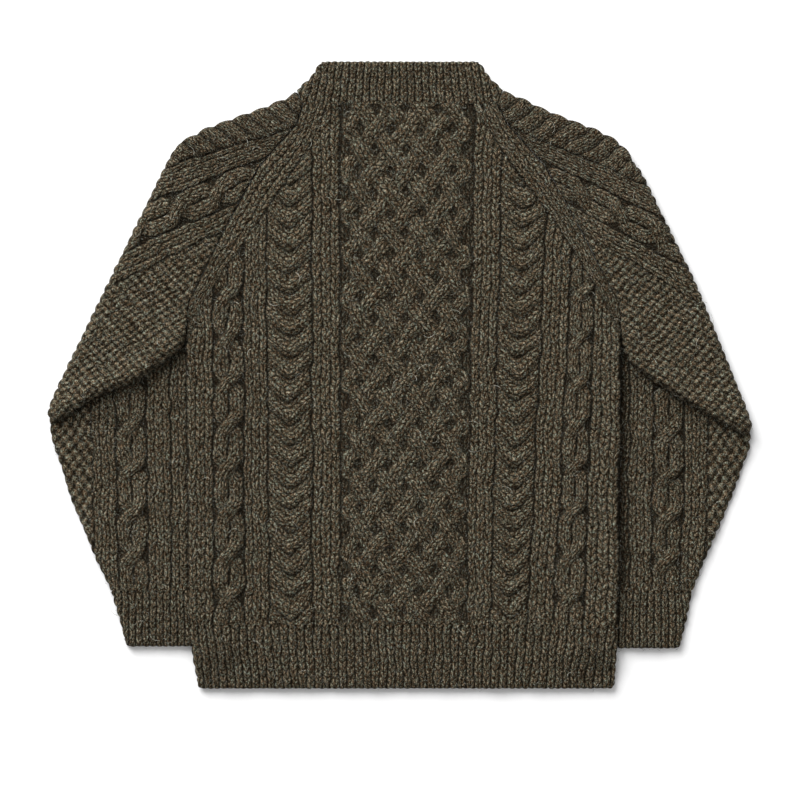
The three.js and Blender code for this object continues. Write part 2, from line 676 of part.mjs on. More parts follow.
// 1 where a forearm shows, 0 under the body and the upper sleeve
function shown(side, x, y) {
  const armpit = first(RAGLAN[side]);
  const hem = (side === "left" ? first(BANDS) : last(BANDS)).hem;
  const edge = lerp(armpit.x, hem, clamp((armpit.y - y) / (armpit.y - WELT_TOP_Y), 0, 1));
  const crease = atX(SLEEVE[side].underarm, x);
  return smooth((Math.abs(x) - Math.abs(edge)) / EMERGE) * smooth((crease - y) / EMERGE);
}

// A cuff: both layers of the tube lie on each other, parted by a groove at the edges
function cuff(name, side) {
  const outer = SLEEVE[side].cuff;
  const inner = last(SLEEVE[side].inner)[0];
  const ribs = Math.round(Math.abs(outer[0][0] - inner) / CUFF_RIB);
  const chains = (body, count, height) => Array.from({ length: count + 1 }, (_, k) => {
    return [CUFF_TOP_Y - GAP, outer[1][1], CUFF_END_Y].map((y) => {
      const x = lerp(inner, atHeight(outer, y)[0], k / count);
      return body.point(x, y, height(k / count, x, y), -y);
    });
  });
  const rise = (part, x, y) => WELT_HEIGHT * Math.abs(Math.sin(Math.PI * ribs * part)) * shown(side, x, y);
  const upper = (body) => chains(body, 2 * ribs, (part, x, y) => SHEET + rise(part, x, y));
  const lower = (body) => chains(body, CUFF_PLAIN, () => 0);
  return sheet(name, upper, lower, TWO_LAYERS, { start: true });
}

// Height of a line at an X
function atX(line, x) {
  return atHeight(line.map(([px, py]) => [py, px]), x)[0];
}

// Upper sleeve: it runs from the raglan over its own forearm to the fold. Rows of stitches are
// counted along its knit columns
function upperSleeve(body, side) {
  const outline = SLEEVE[side];
  const sign = side === "left" ? -1 : 1;
  const seam = RAGLAN[side].map((row) => [row.x + sign * SEAM_GAP, row.y]);
  const key = (x, y) => sign * x * Math.cos(COLUMN_SLOPE) - y * Math.sin(COLUMN_SLOPE);
  const straight = (line, height) => line.map(([x, y]) => body.point(x, y, height(x, y), key(x, y)));
  const topOf = (x, y) => lift(x, y) + SHEET;
  const ends = (chain) => [atHeight(seam, chain.seamY), along(outline.turn, chain.fold)];
  const fine = UPPER_CHAINS.map((chain) => {
    const step = { link: ROW, rope: ROPE_REPEAT / 4 }[chain.kind] ?? PLAIN_STEP;
    const points = rows(ends(chain), step, key);
    return points.map(([x, y], k) => {
      const end = k === 0 || k === points.length - 1;
      const relief = end ? EDGE_RELIEF : RELIEF[chain.kind](chain.c, key(x, y));
      return body.point(x, y, topOf(x, y) + relief, key(x, y));
    });
  });
  // The plain underside comes down from the forearm's inner edge in even steps
  const plain = UPPER_CHAINS.filter((chain) => PLAIN_UPPER.includes(chain.seamY)).map((chain) => {
    const [start, end] = ends(chain);
    const run = Math.hypot(end[0] - start[0], end[1] - start[1]);
    const met = crossing(start, end, outline.inner);
    const reach = met ? Math.hypot(met[0] - start[0], met[1] - start[1]) : run / 3;
    const down = Math.min(DRAPE, 0.8 * reach);
    const runs = [0, reach - down, reach - down / 1.5, reach - down / 3, reach, (reach + run) / 2, run];
    return runs.map((part, k) => {
      const [x, y] = mix(start, end, part / run);
      return body.point(x, y, lift(x, y), k);
    });
  });
  const top = [straight(outline.shoulder, topOf), ...fine, straight(outline.underarm, topOf)];
  const under = [straight(outline.shoulder, lift), ...plain, straight(outline.underarm, lift)];
  body.surface(top);
  body.hem(under[0], under[1]);
  body.surface(plain);
  body.hem(last(plain), last(under));
  const sides = [
    { upper: [...top[0]].reverse(), lower: [...under[0]].reverse() },
    { upper: top.map(first), lower: under.map(first), seam: true },
    { upper: last(top), lower: last(under) },
  ];
  return { top, under, bands: wall(body, sides, TWO_LAYERS, false) };
}

// Forearm: chains run from the fold to the cuff, and outside the cables to the outer edge
function forearm(body, side) {
  const outline = SLEEVE[side];
  const sign = side === "left" ? -1 : 1;
  const point = (x, y, relief) => body.point(x, y, SHEET + relief * shown(side, x, y), -y);
  const ground = (line) => line.map(([x, y]) => body.point(x, y, 0, -y));
  const bends = (chain) => [
    along(outline.turn, chain.fold), [sign * chain.elbow, ELBOW_Y], [sign * chain.cuff, CUFF_TOP_Y],
  ];
  const cables = FOREARM_CHAINS.map((chain) => {
    const [start, elbow, end] = bends(chain);
    const crease = crossing(start, elbow, outline.underarm) ?? elbow;
    const hidden = rows([start, crease], 2 * PLAIN_STEP, (x, y) => -y);
    const seen = rows([crease, elbow, end], chain.kind === "link" ? ROW : PLAIN_STEP, (x, y) => -y);
    const whole = [...hidden, ...seen.slice(1)].map(([x, y], k, all) => {
      return point(x, y, k % (all.length - 1) ? RELIEF[chain.kind](chain.c, y) : 0);
    });
    return { whole, hidden: whole.slice(0, hidden.length), seen: whole.slice(hidden.length - 1) };
  });
  // Outside the cables the lines fall steeply from the fold to the outer edge
  const corner = last(outline.turn);
  const steep = outline.outer.slice(1).reverse().map(([x, y]) => {
    const over = sign * Math.min(Math.abs(x), Math.abs(corner[0])) - sign * 1.5;
    return [[over, atX(outline.turn, over)], [x, y]];
  });
  const moss = steep.map((line) => {
    const long = line[0][1] - line[1][1] > 30;
    const parts = long ? [0, 0.35, 0.7, 1] : [0, 1];
    return parts.map((part) => point(...mix(...line, part), part % 1 ? RELIEF.moss() : 0));
  });
  const plain = FOREARM_CHAINS.filter((chain) => PLAIN_FOREARM.includes(chain.fold));
  const inner = outline.inner.map(([x, y]) => point(x, y, 0));
  const top = [inner, ...cables.map((chain) => chain.whole), ...moss, [point(...corner, 0)]];
  const under = [outline.inner, ...plain.map(bends), ...steep, [corner]].map(ground);
  body.zip(inner, top[1]);
  body.surface(cables.map((chain) => chain.hidden));
  body.surface(cables.map((chain) => chain.seen));
  body.surface(top.slice(cables.length));
  body.surface(under);
  const [topCables, underCables] = [1 + cables.length, 1 + plain.length];
  const sides = [
    { upper: top[0], lower: under[0] },
    {
      upper: top.slice(0, topCables + 1).map(last),
      lower: under.slice(0, underCables + 1).map(last),
      seam: true,
    },
    { upper: top.slice(topCables).map(last), lower: under.slice(underCables).map(last) },
  ];
  return { top, under, bands: wall(body, sides, TWO_LAYERS, false) };
}

// A sleeve: the upper sleeve lies on its own forearm, and the cloth of both goes round the fold
function sleeve(name, side) {
  const body = new Body(name);
  const upper = upperSleeve(body, side);
  const lower = forearm(body, side);
  const { turn, fold } = SLEEVE[side];
  const radius = (2 * SHEET + LOFT) / 2;
  const arcs = Array.from({ length: FOLD_STEPS - 1 }, (_, a) => {
    const angle = (Math.PI * (a + 1)) / FOLD_STEPS;
    return Array.from({ length: FOLD_PARTS + 1 }, (__, k) => {
      const [x, y] = mix(along(turn, k / FOLD_PARTS), along(fold, k / FOLD_PARTS), Math.sin(angle));
      return body.point(x, y, radius * (1 + Math.cos(angle)));
    });
  });
  const outerFace = [upper.top.map(last), ...arcs, lower.under.map(first)];
  for (let i = 1; i < outerFace.length; i += 1) body.hem(outerFace[i - 1], outerFace[i]);
  body.hem(upper.under.map(last), lower.top.map(first));
  // Both ends of the fold are closed by a cap
  for (const [pick, edge] of [[first, first], [last, last]]) {
    body.cap([
      last(edge(upper.top)), ...arcs.map(pick), first(edge(lower.under)),
      ...lower.bands.slice(0, -1).map(pick).reverse(), first(edge(lower.top)),
      ...upper.bands.map(pick).reverse(),
    ]);
  }
  return body.mesh();
}

// Folded ends of the neckband, seen from the seam to the upper edge: how far they stand out
// from the band's side and how far in the fold between back and front reaches
const NECK_TURNS = [
  { x: NECK_SEAM_HALF, y: NECK_SEAM_Y + GAP, out: 0.3, in: 0.2 },
  { x: NECK_MIDDLE_HALF, y: NECK_MIDDLE_Y, out: 0.8, in: 1.5 },
  { x: NECK_TOP_HALF, y: NECK_TOP_Y, out: 0.8, in: 1.5 },
];

// The neckband: one ring, ribbed on the back, folded at both shoulders and plain on the front
function neckband() {
  const body = new Body("neckband");
  const ring = [];
  const station = (f, drop, outer, inner, clear = 0) => {
    const line = NECK_TURNS.map(({ x, y }, i) => [f * x, y - drop + (i ? 0 : clear)]);
    const face = (z) => line.map(([x, y]) => body.point(x, y, z));
    ring.push([...face(outer), ...face(inner).reverse()]);
  };
  const turn = (sign) => {
    const middle = SHEET / 2;
    const outer = NECK_TURNS.map((row) => body.point(sign * (row.x + row.out), row.y, middle));
    const inner = NECK_TURNS.map((row) => body.point(sign * (row.x - row.in), row.y, middle));
    ring.push([...outer, ...inner.reverse()]);
  };
  const steps = 2 * Math.round((2 * NECK_TOP_HALF) / NECK_RIB);
  for (let k = 0; k <= steps; k += 1) {
    station((2 * k) / steps - 1, 0, SHEET + (k % 2) * WELT_HEIGHT, WALL + GAP);
  }
  turn(1);
  for (let k = 0; k <= NECK_STEPS; k += 1) {
    const f = 1 - (2 * k) / NECK_STEPS;
    station(f, FRONT_NECK_DROP * scoop(f), 0, WALL, FRONT_CLEAR);
  }
  turn(-1);
  ring.forEach((here, i) => {
    const next = ring[(i + 1) % ring.length];
    here.forEach((a, c) => {
      const d = (c + 1) % here.length;
      body.face(a, next[c], next[d]);
      body.face(a, next[d], here[d]);
    });
  });
  return body.mesh();
}

const sweater = new THREE.Group();
const pieces = [
  back(), front(), hemRib("back_hem_rib", WALL + GAP, true), hemRib("front_hem_rib", 0, false),
  sleeve("sleeve_left", "left"), cuff("cuff_left", "left"),
  sleeve("sleeve_right", "right"), cuff("cuff_right", "right"), neckband(),
];
// The origin is the middle of the garment's outline, on the surface it lies on
const middle = new THREE.Box3();
pieces.forEach((piece) => middle.expandByObject(piece));
const [midX, midY] = [(middle.min.x + middle.max.x) / 2, (middle.min.y + middle.max.y) / 2];
pieces.forEach((piece) => {
  piece.geometry.translate(-midX, -midY, 0);
  sweater.add(piece);
});

export default sweater;
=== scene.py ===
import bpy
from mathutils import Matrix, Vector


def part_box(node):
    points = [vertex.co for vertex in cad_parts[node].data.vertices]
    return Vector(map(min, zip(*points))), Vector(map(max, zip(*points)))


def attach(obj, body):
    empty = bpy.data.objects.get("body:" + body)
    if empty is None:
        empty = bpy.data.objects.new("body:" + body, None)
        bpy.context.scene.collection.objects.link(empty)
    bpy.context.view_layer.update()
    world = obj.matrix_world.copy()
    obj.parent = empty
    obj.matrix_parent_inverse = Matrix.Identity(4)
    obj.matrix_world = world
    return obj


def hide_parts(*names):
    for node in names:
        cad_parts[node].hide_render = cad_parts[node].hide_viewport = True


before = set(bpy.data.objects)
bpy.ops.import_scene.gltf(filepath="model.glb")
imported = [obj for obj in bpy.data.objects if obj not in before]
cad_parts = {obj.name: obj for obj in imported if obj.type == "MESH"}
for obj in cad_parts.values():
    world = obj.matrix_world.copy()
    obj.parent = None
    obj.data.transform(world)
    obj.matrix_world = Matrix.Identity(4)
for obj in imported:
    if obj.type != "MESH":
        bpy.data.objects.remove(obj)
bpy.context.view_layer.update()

import math

import bpy
import numpy as np
from mathutils import Vector
from mathutils.geometry import delaunay_2d_cdt

# Back. One panel of chunky heather wool, knitted from hem to neck in vertical bands: a wide plait
# in the middle, nested V cables and linked cables beside it, and three knit columns between them.
# Three more columns slant along each raglan seam. Sizes are millimetres on the laid garment.
stitch = 8.1
row = 8.0
layer = 3.5
gap = 0.3
two_layers = 2 * layer + gap
loft = 1.2
drape = 40.0
hem_seam = -274.0
neck_seam = 298.0

# The drawing's middle line and the neckband's top edge give its place in the frame
neck_low, neck_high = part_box("neckband")
laid_at = np.array([neck_low[0] * 1000 + 106.8, neck_high[1] * 1000 - 344.3, 0.0])

# Each band's left edge at the hem seam and at the neck seam
bands = [
    ("columns", -231, -236.3), ("link", -204.6, -205.7), ("columns", -170.5, -172.7),
    ("nested", -143.6, -148), ("columns", -96.3, -96.8), ("plait", -64.9, -66.6),
    ("columns", 72.6, 82.5), ("nested", 99.4, 113.7), ("columns", 140.3, 166.1),
    ("link", 168.3, 196.9), ("columns", 201.3, 220), ("end", 238.7, 245),
]
# Raglan seams from underarm to neck, each point with the inner edge of the slanting columns
raglan = {
    "left": [(-235, 36, -235, 36), (-232, 78, -218, 74), (-192.5, 160, -177, 140),
             (-156, 228, -140, 190), (-113.5, 275, -97, 254), (-106.5, 298, -80, 298)],
    "right": [(243.5, 36, 243.5, 36), (240, 78, 228, 74), (198, 160, 190, 138),
              (160.5, 228, 147, 200), (119, 275, 107, 252), (106.5, 298, 80, 298)],
}
# Outlines of each folded sleeve: the fold turns the upper sleeve over the forearm
sleeves = {
    "left": {
        "shoulder": [(-107.0, 298), (-113.2, 311.2), (-124, 303), (-167, 287), (-210, 272), (-240.5, 254.5)],
        "fold": [(-240.5, 254.5), (-249.5, 246), (-313, 116), (-384, -30), (-387, -46), (-378, -53), (-362, -42)],
        "underarm": [(-362, -42), (-333, -22), (-284, -4.5), (-242, 28), (-235.6, 36)],
        "outer": [(-340, 40), (-384, -40), (-384, -67), (-372, -98), (-364, -129), (-351, -160), (-332, -206), (-317, -236.5)],
        "inner": [(-240.5, 254.5), (-220, 93.5), (-199, -44), (-196, -236.5)],
        "cuff": [(-317, -236.8), (-308, -267), (-300.5, -298)],
    },
    "right": {
        "shoulder": [(107.0, 298), (113.2, 311.7), (134, 303), (168, 287), (208, 272), (241, 256.5), (256.5, 233)],
        "fold": [(256.5, 233), (264, 224), (324, 102), (384, -46), (387, -61), (377, -66), (362, -57)],
        "underarm": [(362, -57), (328, -37.5), (288, -13), (250, 14), (244.1, 36)],
        "outer": [(340, 40), (384, -54), (384, -82), (376, -99), (366, -129), (353, -160), (333, -206), (321, -236.5)],
        "inner": [(256.5, 233), (220, 93.5), (199, -56), (202, -236.5)],
        "cuff": [(321, -236.8), (314.5, -267), (307, -300)],
    },
}
hand = {"left": -1, "right": 1}


def smooth(f):
    f = np.clip(f, 0, 1)
    return f * f * (3 - 2 * f)


def dome(d):
    return np.sqrt(np.clip(1 - d * d, 0, 1))


def saw(f):
    return f - np.floor(f)


def off(f):
    """Distance from the nearest whole number."""
    return np.abs(f - np.round(f))


def from_line(x, y, line):
    """Distance from a line, and how far along it the nearest place is."""
    best = np.full(np.shape(x), np.inf)
    along = np.zeros(np.shape(x))
    run = 0.0
    for (ax, ay), (bx, by) in zip(line[:-1], line[1:]):
        length = math.hypot(bx - ax, by - ay)
        f = np.clip(((x - ax) * (bx - ax) + (y - ay) * (by - ay)) / length**2, 0, 1)
        d = np.hypot(x - ax - f * (bx - ax), y - ay - f * (by - ay))
        along = np.where(d < best, run + f * length, along)
        best = np.minimum(best, d)
        run += length
    return best, along


def inside(x, y, outline):
    odd = np.zeros(np.shape(x), bool)
    for (ax, ay), (bx, by) in zip(outline, outline[1:] + outline[:1]):
        if ay != by:
            odd ^= ((ay > y) != (by > y)) & (x < ax + (bx - ax) * (y - ay) / (by - ay))
    return odd


forearms = [
    s["inner"] + [(s["inner"][-1][0], -298), (1.2 * s["cuff"][-1][0], -298), (1.12 * s["fold"][4][0], s["fold"][4][1])]
    for s in sleeves.values()
]


def lift(x, y):
    """Height of the cloth's underside: on a forearm, and from there down to the ground."""
    near = np.full(np.shape(x), np.inf)
    for outline in forearms:
        d, _ = from_line(x, y, outline + outline[:1])
        near = np.minimum(near, np.where(inside(x, y, outline), 0, d))
    return (two_layers + loft) * (1 - smooth(near / drape))


# Hand knitting is uneven: the fabric wanders a little and swells and sinks in slow waves
uneven = np.random.default_rng(11)
waves = [
    (amount, *(uneven.uniform(0.7, 1.3, 2) * 2 * math.pi / length * uneven.choice([-1, 1], 2)), *uneven.uniform(0, 6.3, 3))
    for amount, length, count in [(0.8, 150, 5), (0.8, 60, 6), (0.55, 24, 8)] for _ in range(count)
]


def wander(x, y, which):
    return sum(a * np.sin(kx * x + ky * y + phase[which]) for a, kx, ky, *phase in waves) / 2.4


def chance(i, j):
    """A fixed random number from 0 to 1 for each stitch."""
    return saw(np.sin(i * 12.9898 + j * 78.233) * 43758.5453)


def v_stitches(u, v):
    """Height from 0 to 1 of knit stitches: two slanting legs in each column, a pair to a row."""
    x = np.abs(saw(u) - 0.5)
    leg = dome(1.9 * (saw(v - 1.7 * x) - 0.5))
    return dome(0.97 * (4 * x - 1)) * (0.25 + 0.75 * leg)


# Each pattern gives the height over the purl ground and the stitch that a place is in, counted
# across and along. across goes from 0 to 1 over a band, and along is in millimetres.
knit_height = 2.4


def columns(across, along, count):
    u = across * count
    height = knit_height * (0.2 + 0.85 * np.abs(np.sin(math.pi * u)) ** 0.8)
    return height * smooth(np.minimum(across, 1 - across) * count / 0.25), u, along / row


link_repeat = 47.5
strand = 3.6
crossing = 2.1


def link(across, along, width):
    """Two strands side by side that change places, the rising one on top."""
    c = 2 * across - 1
    turn = along / link_repeat
    t = turn - np.round(turn)
    near = 1 - smooth(np.abs(t) / 0.36)
    bend = np.clip(t / 0.66, -0.5, 0.5)
    side = 0.5 * np.sin(math.pi * bend)
    lean = 0.5 * math.pi / 0.66 * np.cos(math.pi * bend) * width / 2 / link_repeat
    half = 0.47 * np.sqrt(1 + (lean * 0.9) ** 2)
    over = (strand + crossing * near) * dome((c - side) / half) ** 0.8
    under = (strand - crossing * near) * dome((c + side) / half) ** 0.8
    first = over > under
    u = (np.where(first, c - side, c + side) / half + 1)
    tilt = np.where(first, -1, 1) * lean
    v = along / row + tilt * np.where(first, c - side, c + side) * width / 2 / row
    return np.maximum(over, under), u, v


nested_repeat = 23.8


def nested(across, along, width):
    """Plump rolls that come down from both edges and meet in a V, each lying over the next."""
    c = 2 * across - 1
    bend = np.sqrt(c * c + 0.05) - 0.22
    turn = along / nested_repeat - 1.0 * bend
    f = saw(turn)
    roll = np.sin(math.pi * (1 - f) ** 1.8) ** 0.9
    deep = 1 - 0.4 * smooth(np.abs(c) * 1.25)
    height = (strand + 1.7 - (strand + 1.0) * deep * (1 - roll)) * dome(0.95 * c) ** 0.6 * smooth((1 - np.abs(c)) / 0.1)
    u = f * 2.0
    v = (np.abs(c) * width / 2 * 1.35 + 0.2 * along) / row
    return height, u, v


plait_left = 342.0
plait_across = 30.9
plait_down = 42.0
plait_half = 0.345


def plait(x, y):
    """Eight strands that pass over and under each other and turn back at both edges."""
    a = (x / 1.1 + 400 - plait_left) / (plait_across + 1.3 * (y - hem_seam) / (neck_seam - hem_seam))
    b = (y / 1.1 - (375 - 171.5)) / plait_down
    turned = 0.22
    inner = np.minimum(a, 4 - a)
    beyond = np.clip(turned - inner, 0, 2) * 1.24
    bent = np.sqrt(np.clip(inner * np.abs(inner) - turned**2, 0, None))
    a = np.where(a < 2, bent, 4 - bent)
    rise = 0.5 * (np.cos(2 * math.pi * a) + np.cos(2 * math.pi * b)) * smooth(inner / 0.5)
    up, down = b - a, b + a
    d_up = np.hypot(up - np.round(up), beyond) / plait_half
    d_down = np.hypot(down - np.round(down), beyond) / plait_half
    over = (strand + crossing * rise) * dome(d_up) ** 0.8
    under = (strand - crossing * rise) * dome(d_down) ** 0.8
    first = over > under
    u = 1 + np.where(first, np.sign(up - np.round(up)) * d_up, np.sign(down - np.round(down)) * d_down)
    v = np.where(first, down, down - 2 * b) * 28.7 / row
    bare = np.maximum(over, under) < 0.65
    return np.maximum(np.maximum(over, under), 0.65), np.where(bare, x / stitch, u), np.where(bare, y / row, v)


def back_pattern(x, y):
    x = x + wander(x, y, 0)
    y = y + wander(x, y, 1)
    part = (y - hem_seam) / (neck_seam - hem_seam)
    height, u, v = np.zeros(x.shape), x / stitch, y / row
    for (kind, hem, yoke), (_, next_hem, next_yoke) in zip(bands[:-1], bands[1:]):
        left, right = hem + (yoke - hem) * part, next_hem + (next_yoke - next_hem) * part
        here = (x >= left) & (x < right)
        if kind == bands[0][0] and hem == bands[0][1]:
            here |= x < left
        if next_hem == bands[-1][1]:
            here |= x >= right
        across = np.clip((x - left) / (right - left), 0, 1)
        if kind == "columns":
            found = columns(across, y, 3)
        elif kind == "link":
            first_crossing = (375 - 425) * 1.1
            found = link(across, y - first_crossing, right - left)
        elif kind == "nested":
            found = nested(across, y - (375 - 424) * 1.1, right - left)
        else:
            found = plait(x, y)
        height, u, v = (np.where(here, new, old) for new, old in zip(found, (height, u, v)))
    dip = (1 - smooth(np.abs(y - 290) / 9)) * (0.35 + 0.3 * np.sin(x / 6.5) * np.sin(x / 17))
    height = height * (1 - np.clip(dip, 0, 1))
    for side, rows in raglan.items():
        seam = [(r[0], r[1]) for r in rows]
        inner = [(r[2], r[3]) for r in rows]
        to_seam, along = from_line(x, y, seam)
        to_inner, _ = from_line(x, y, inner)
        strip = inside(x, y, seam + inner[::-1]) | (hand[side] * x > 120) & (y > 60) & (to_seam < to_inner)
        found = columns(to_inner / (to_seam + to_inner + 1e-6), along, 3)
        height, u, v = (np.where(strip, new, old) for new, old in zip(found, (height, u, v)))
    return height, u, v


# How the cloth ends at each kind of edge: the run over which its upper face rounds off, the part
# of its height at which it ends, the run below, and the bumps of the stitches along it
seam_height = 2.6
edges = {
    "side": (4.0, 0.4, 1.5, 11.7, 1.5),
    "seam": (1.6, 1.0, 0.2, 1.0, 0.0),
    "raglan": (2.2, 0.8, 0.2, 1.0, 0.0),
    "tube": (5.0, 0.45, 3.2, 11.7, 2.0),
    "rope": (8.0, 0.5, 3.2, 21.0, 2.6),
    "cast_off": (3.5, 0.45, 1.5, 7.2, 1.1),
    "fold_over": (10.0, 0.0, 6.0, 11.7, 1.9),
}


# The rope on the shoulder runs down with the sleeve, and its lumps stand out of the outline
sleeve_slope = -0.4366


def shoulder_run(x, y):
    return (np.abs(x) + sleeve_slope * y) / math.hypot(1, sleeve_slope)


def lattice(outline, step_a, step_b, slope):
    """Points and four-sided faces on a grid turned by slope, its border moved onto the outline."""
    turn = np.array([[math.cos(slope), math.sin(slope)], [-math.sin(slope), math.cos(slope)]])
    corners = np.array(outline) @ turn.T
    low, high = corners.min(0) - 2 * step_a, corners.max(0) + 2 * step_a
    a = np.arange(low[0], high[0], step_a)
    b = np.arange(low[1], high[1], step_b)
    grid = np.stack(np.meshgrid(a, b, indexing="ij"), -1) @ turn
    x, y = grid[..., 0], grid[..., 1]
    ring = outline + outline[:1]
    depth, _ = from_line(x, y, ring)
    depth = np.where(inside(x, y, outline), depth, -depth)
    kept = depth > -0.45 * min(step_a, step_b)
    cells = kept[:-1, :-1] & kept[1:, :-1] & kept[:-1, 1:] & kept[1:, 1:]
    for _ in range(6):
        padded = np.pad(cells, 1)
        beside = padded[:-2, 1:-1] * 1 + padded[2:, 1:-1] + padded[1:-1, :-2] + padded[1:-1, 2:]
        cells = cells & (beside >= 2)
    padded = np.pad(cells, 1)
    ul, ur, ll, lr = padded[:-1, :-1], padded[1:, :-1], padded[:-1, 1:], padded[1:, 1:]
    touching = (ul & lr & ~ur & ~ll) | (ur & ll & ~ul & ~lr)
    for i, j in zip(*np.nonzero(touching)):
        cells[max(i - 1, 0):i + 1, max(j - 1, 0):j + 1] = False
    number = -np.ones(x.shape, int)
    used = np.zeros(x.shape, bool)
    for di in (0, 1):
        for dj in (0, 1):
            used[di:di + cells.shape[0], dj:dj + cells.shape[1]] |= cells
    number[used] = np.arange(used.sum())
    i, j = np.nonzero(cells)
    quads = np.stack([number[i, j], number[i + 1, j], number[i + 1, j + 1], number[i, j + 1]], 1)
    follow = {}
    border = np.pad(cells, 1)
    for (ai, aj), (bi, bj), (oi, oj) in [((0, 0), (1, 0), (0, -1)), ((1, 0), (1, 1), (1, 0)),
                                         ((1, 1), (0, 1), (0, 1)), ((0, 1), (0, 0), (-1, 0))]:
        open_side = ~border[i + 1 + oi, j + 1 + oj]
        for p, q in zip(number[i[open_side] + ai, j[open_side] + aj], number[i[open_side] + bi, j[open_side] + bj]):
            follow[int(p)] = int(q)
    start = next(iter(follow))
    loop = [start]
    while follow[loop[-1]] != start:
        loop.append(follow[loop[-1]])
    points = np.stack([x[used], y[used]], 1)
    at = points[loop]
    best = np.full(len(loop), np.inf)
    moved = at.copy()
    for (ax, ay), (bx, by) in zip(ring[:-1], ring[1:]):
        f = np.clip(((at[:, 0] - ax) * (bx - ax) + (at[:, 1] - ay) * (by - ay)) / ((bx - ax) ** 2 + (by - ay) ** 2), 0, 1)
        spot = np.stack([ax + f * (bx - ax), ay + f * (by - ay)], 1)
        d = np.hypot(*(at - spot).T)
        moved = np.where((d < best)[:, None], spot, moved)
        best = np.minimum(best, d)
    after = np.roll(moved, -1, 0)
    close = np.hypot(*(moved - after).T) < 0.4
    moved[close] = (0.6 * moved + 0.4 * np.roll(moved, 1, 0))[close]
    points[loop] = moved
    return points, quads, loop, used


def around(values, used, reach):
    """The mean of the values over the grid near each place."""
    total = np.zeros(used.shape)
    total[used] = values
    count = used.astype(float)
    for axis in (0, 1):
        total = sum(np.roll(total, k, axis) for k in range(-reach, reach + 1))
        count = sum(np.roll(count, k, axis) for k in range(-reach, reach + 1))
    return (total / np.maximum(count, 1))[used]


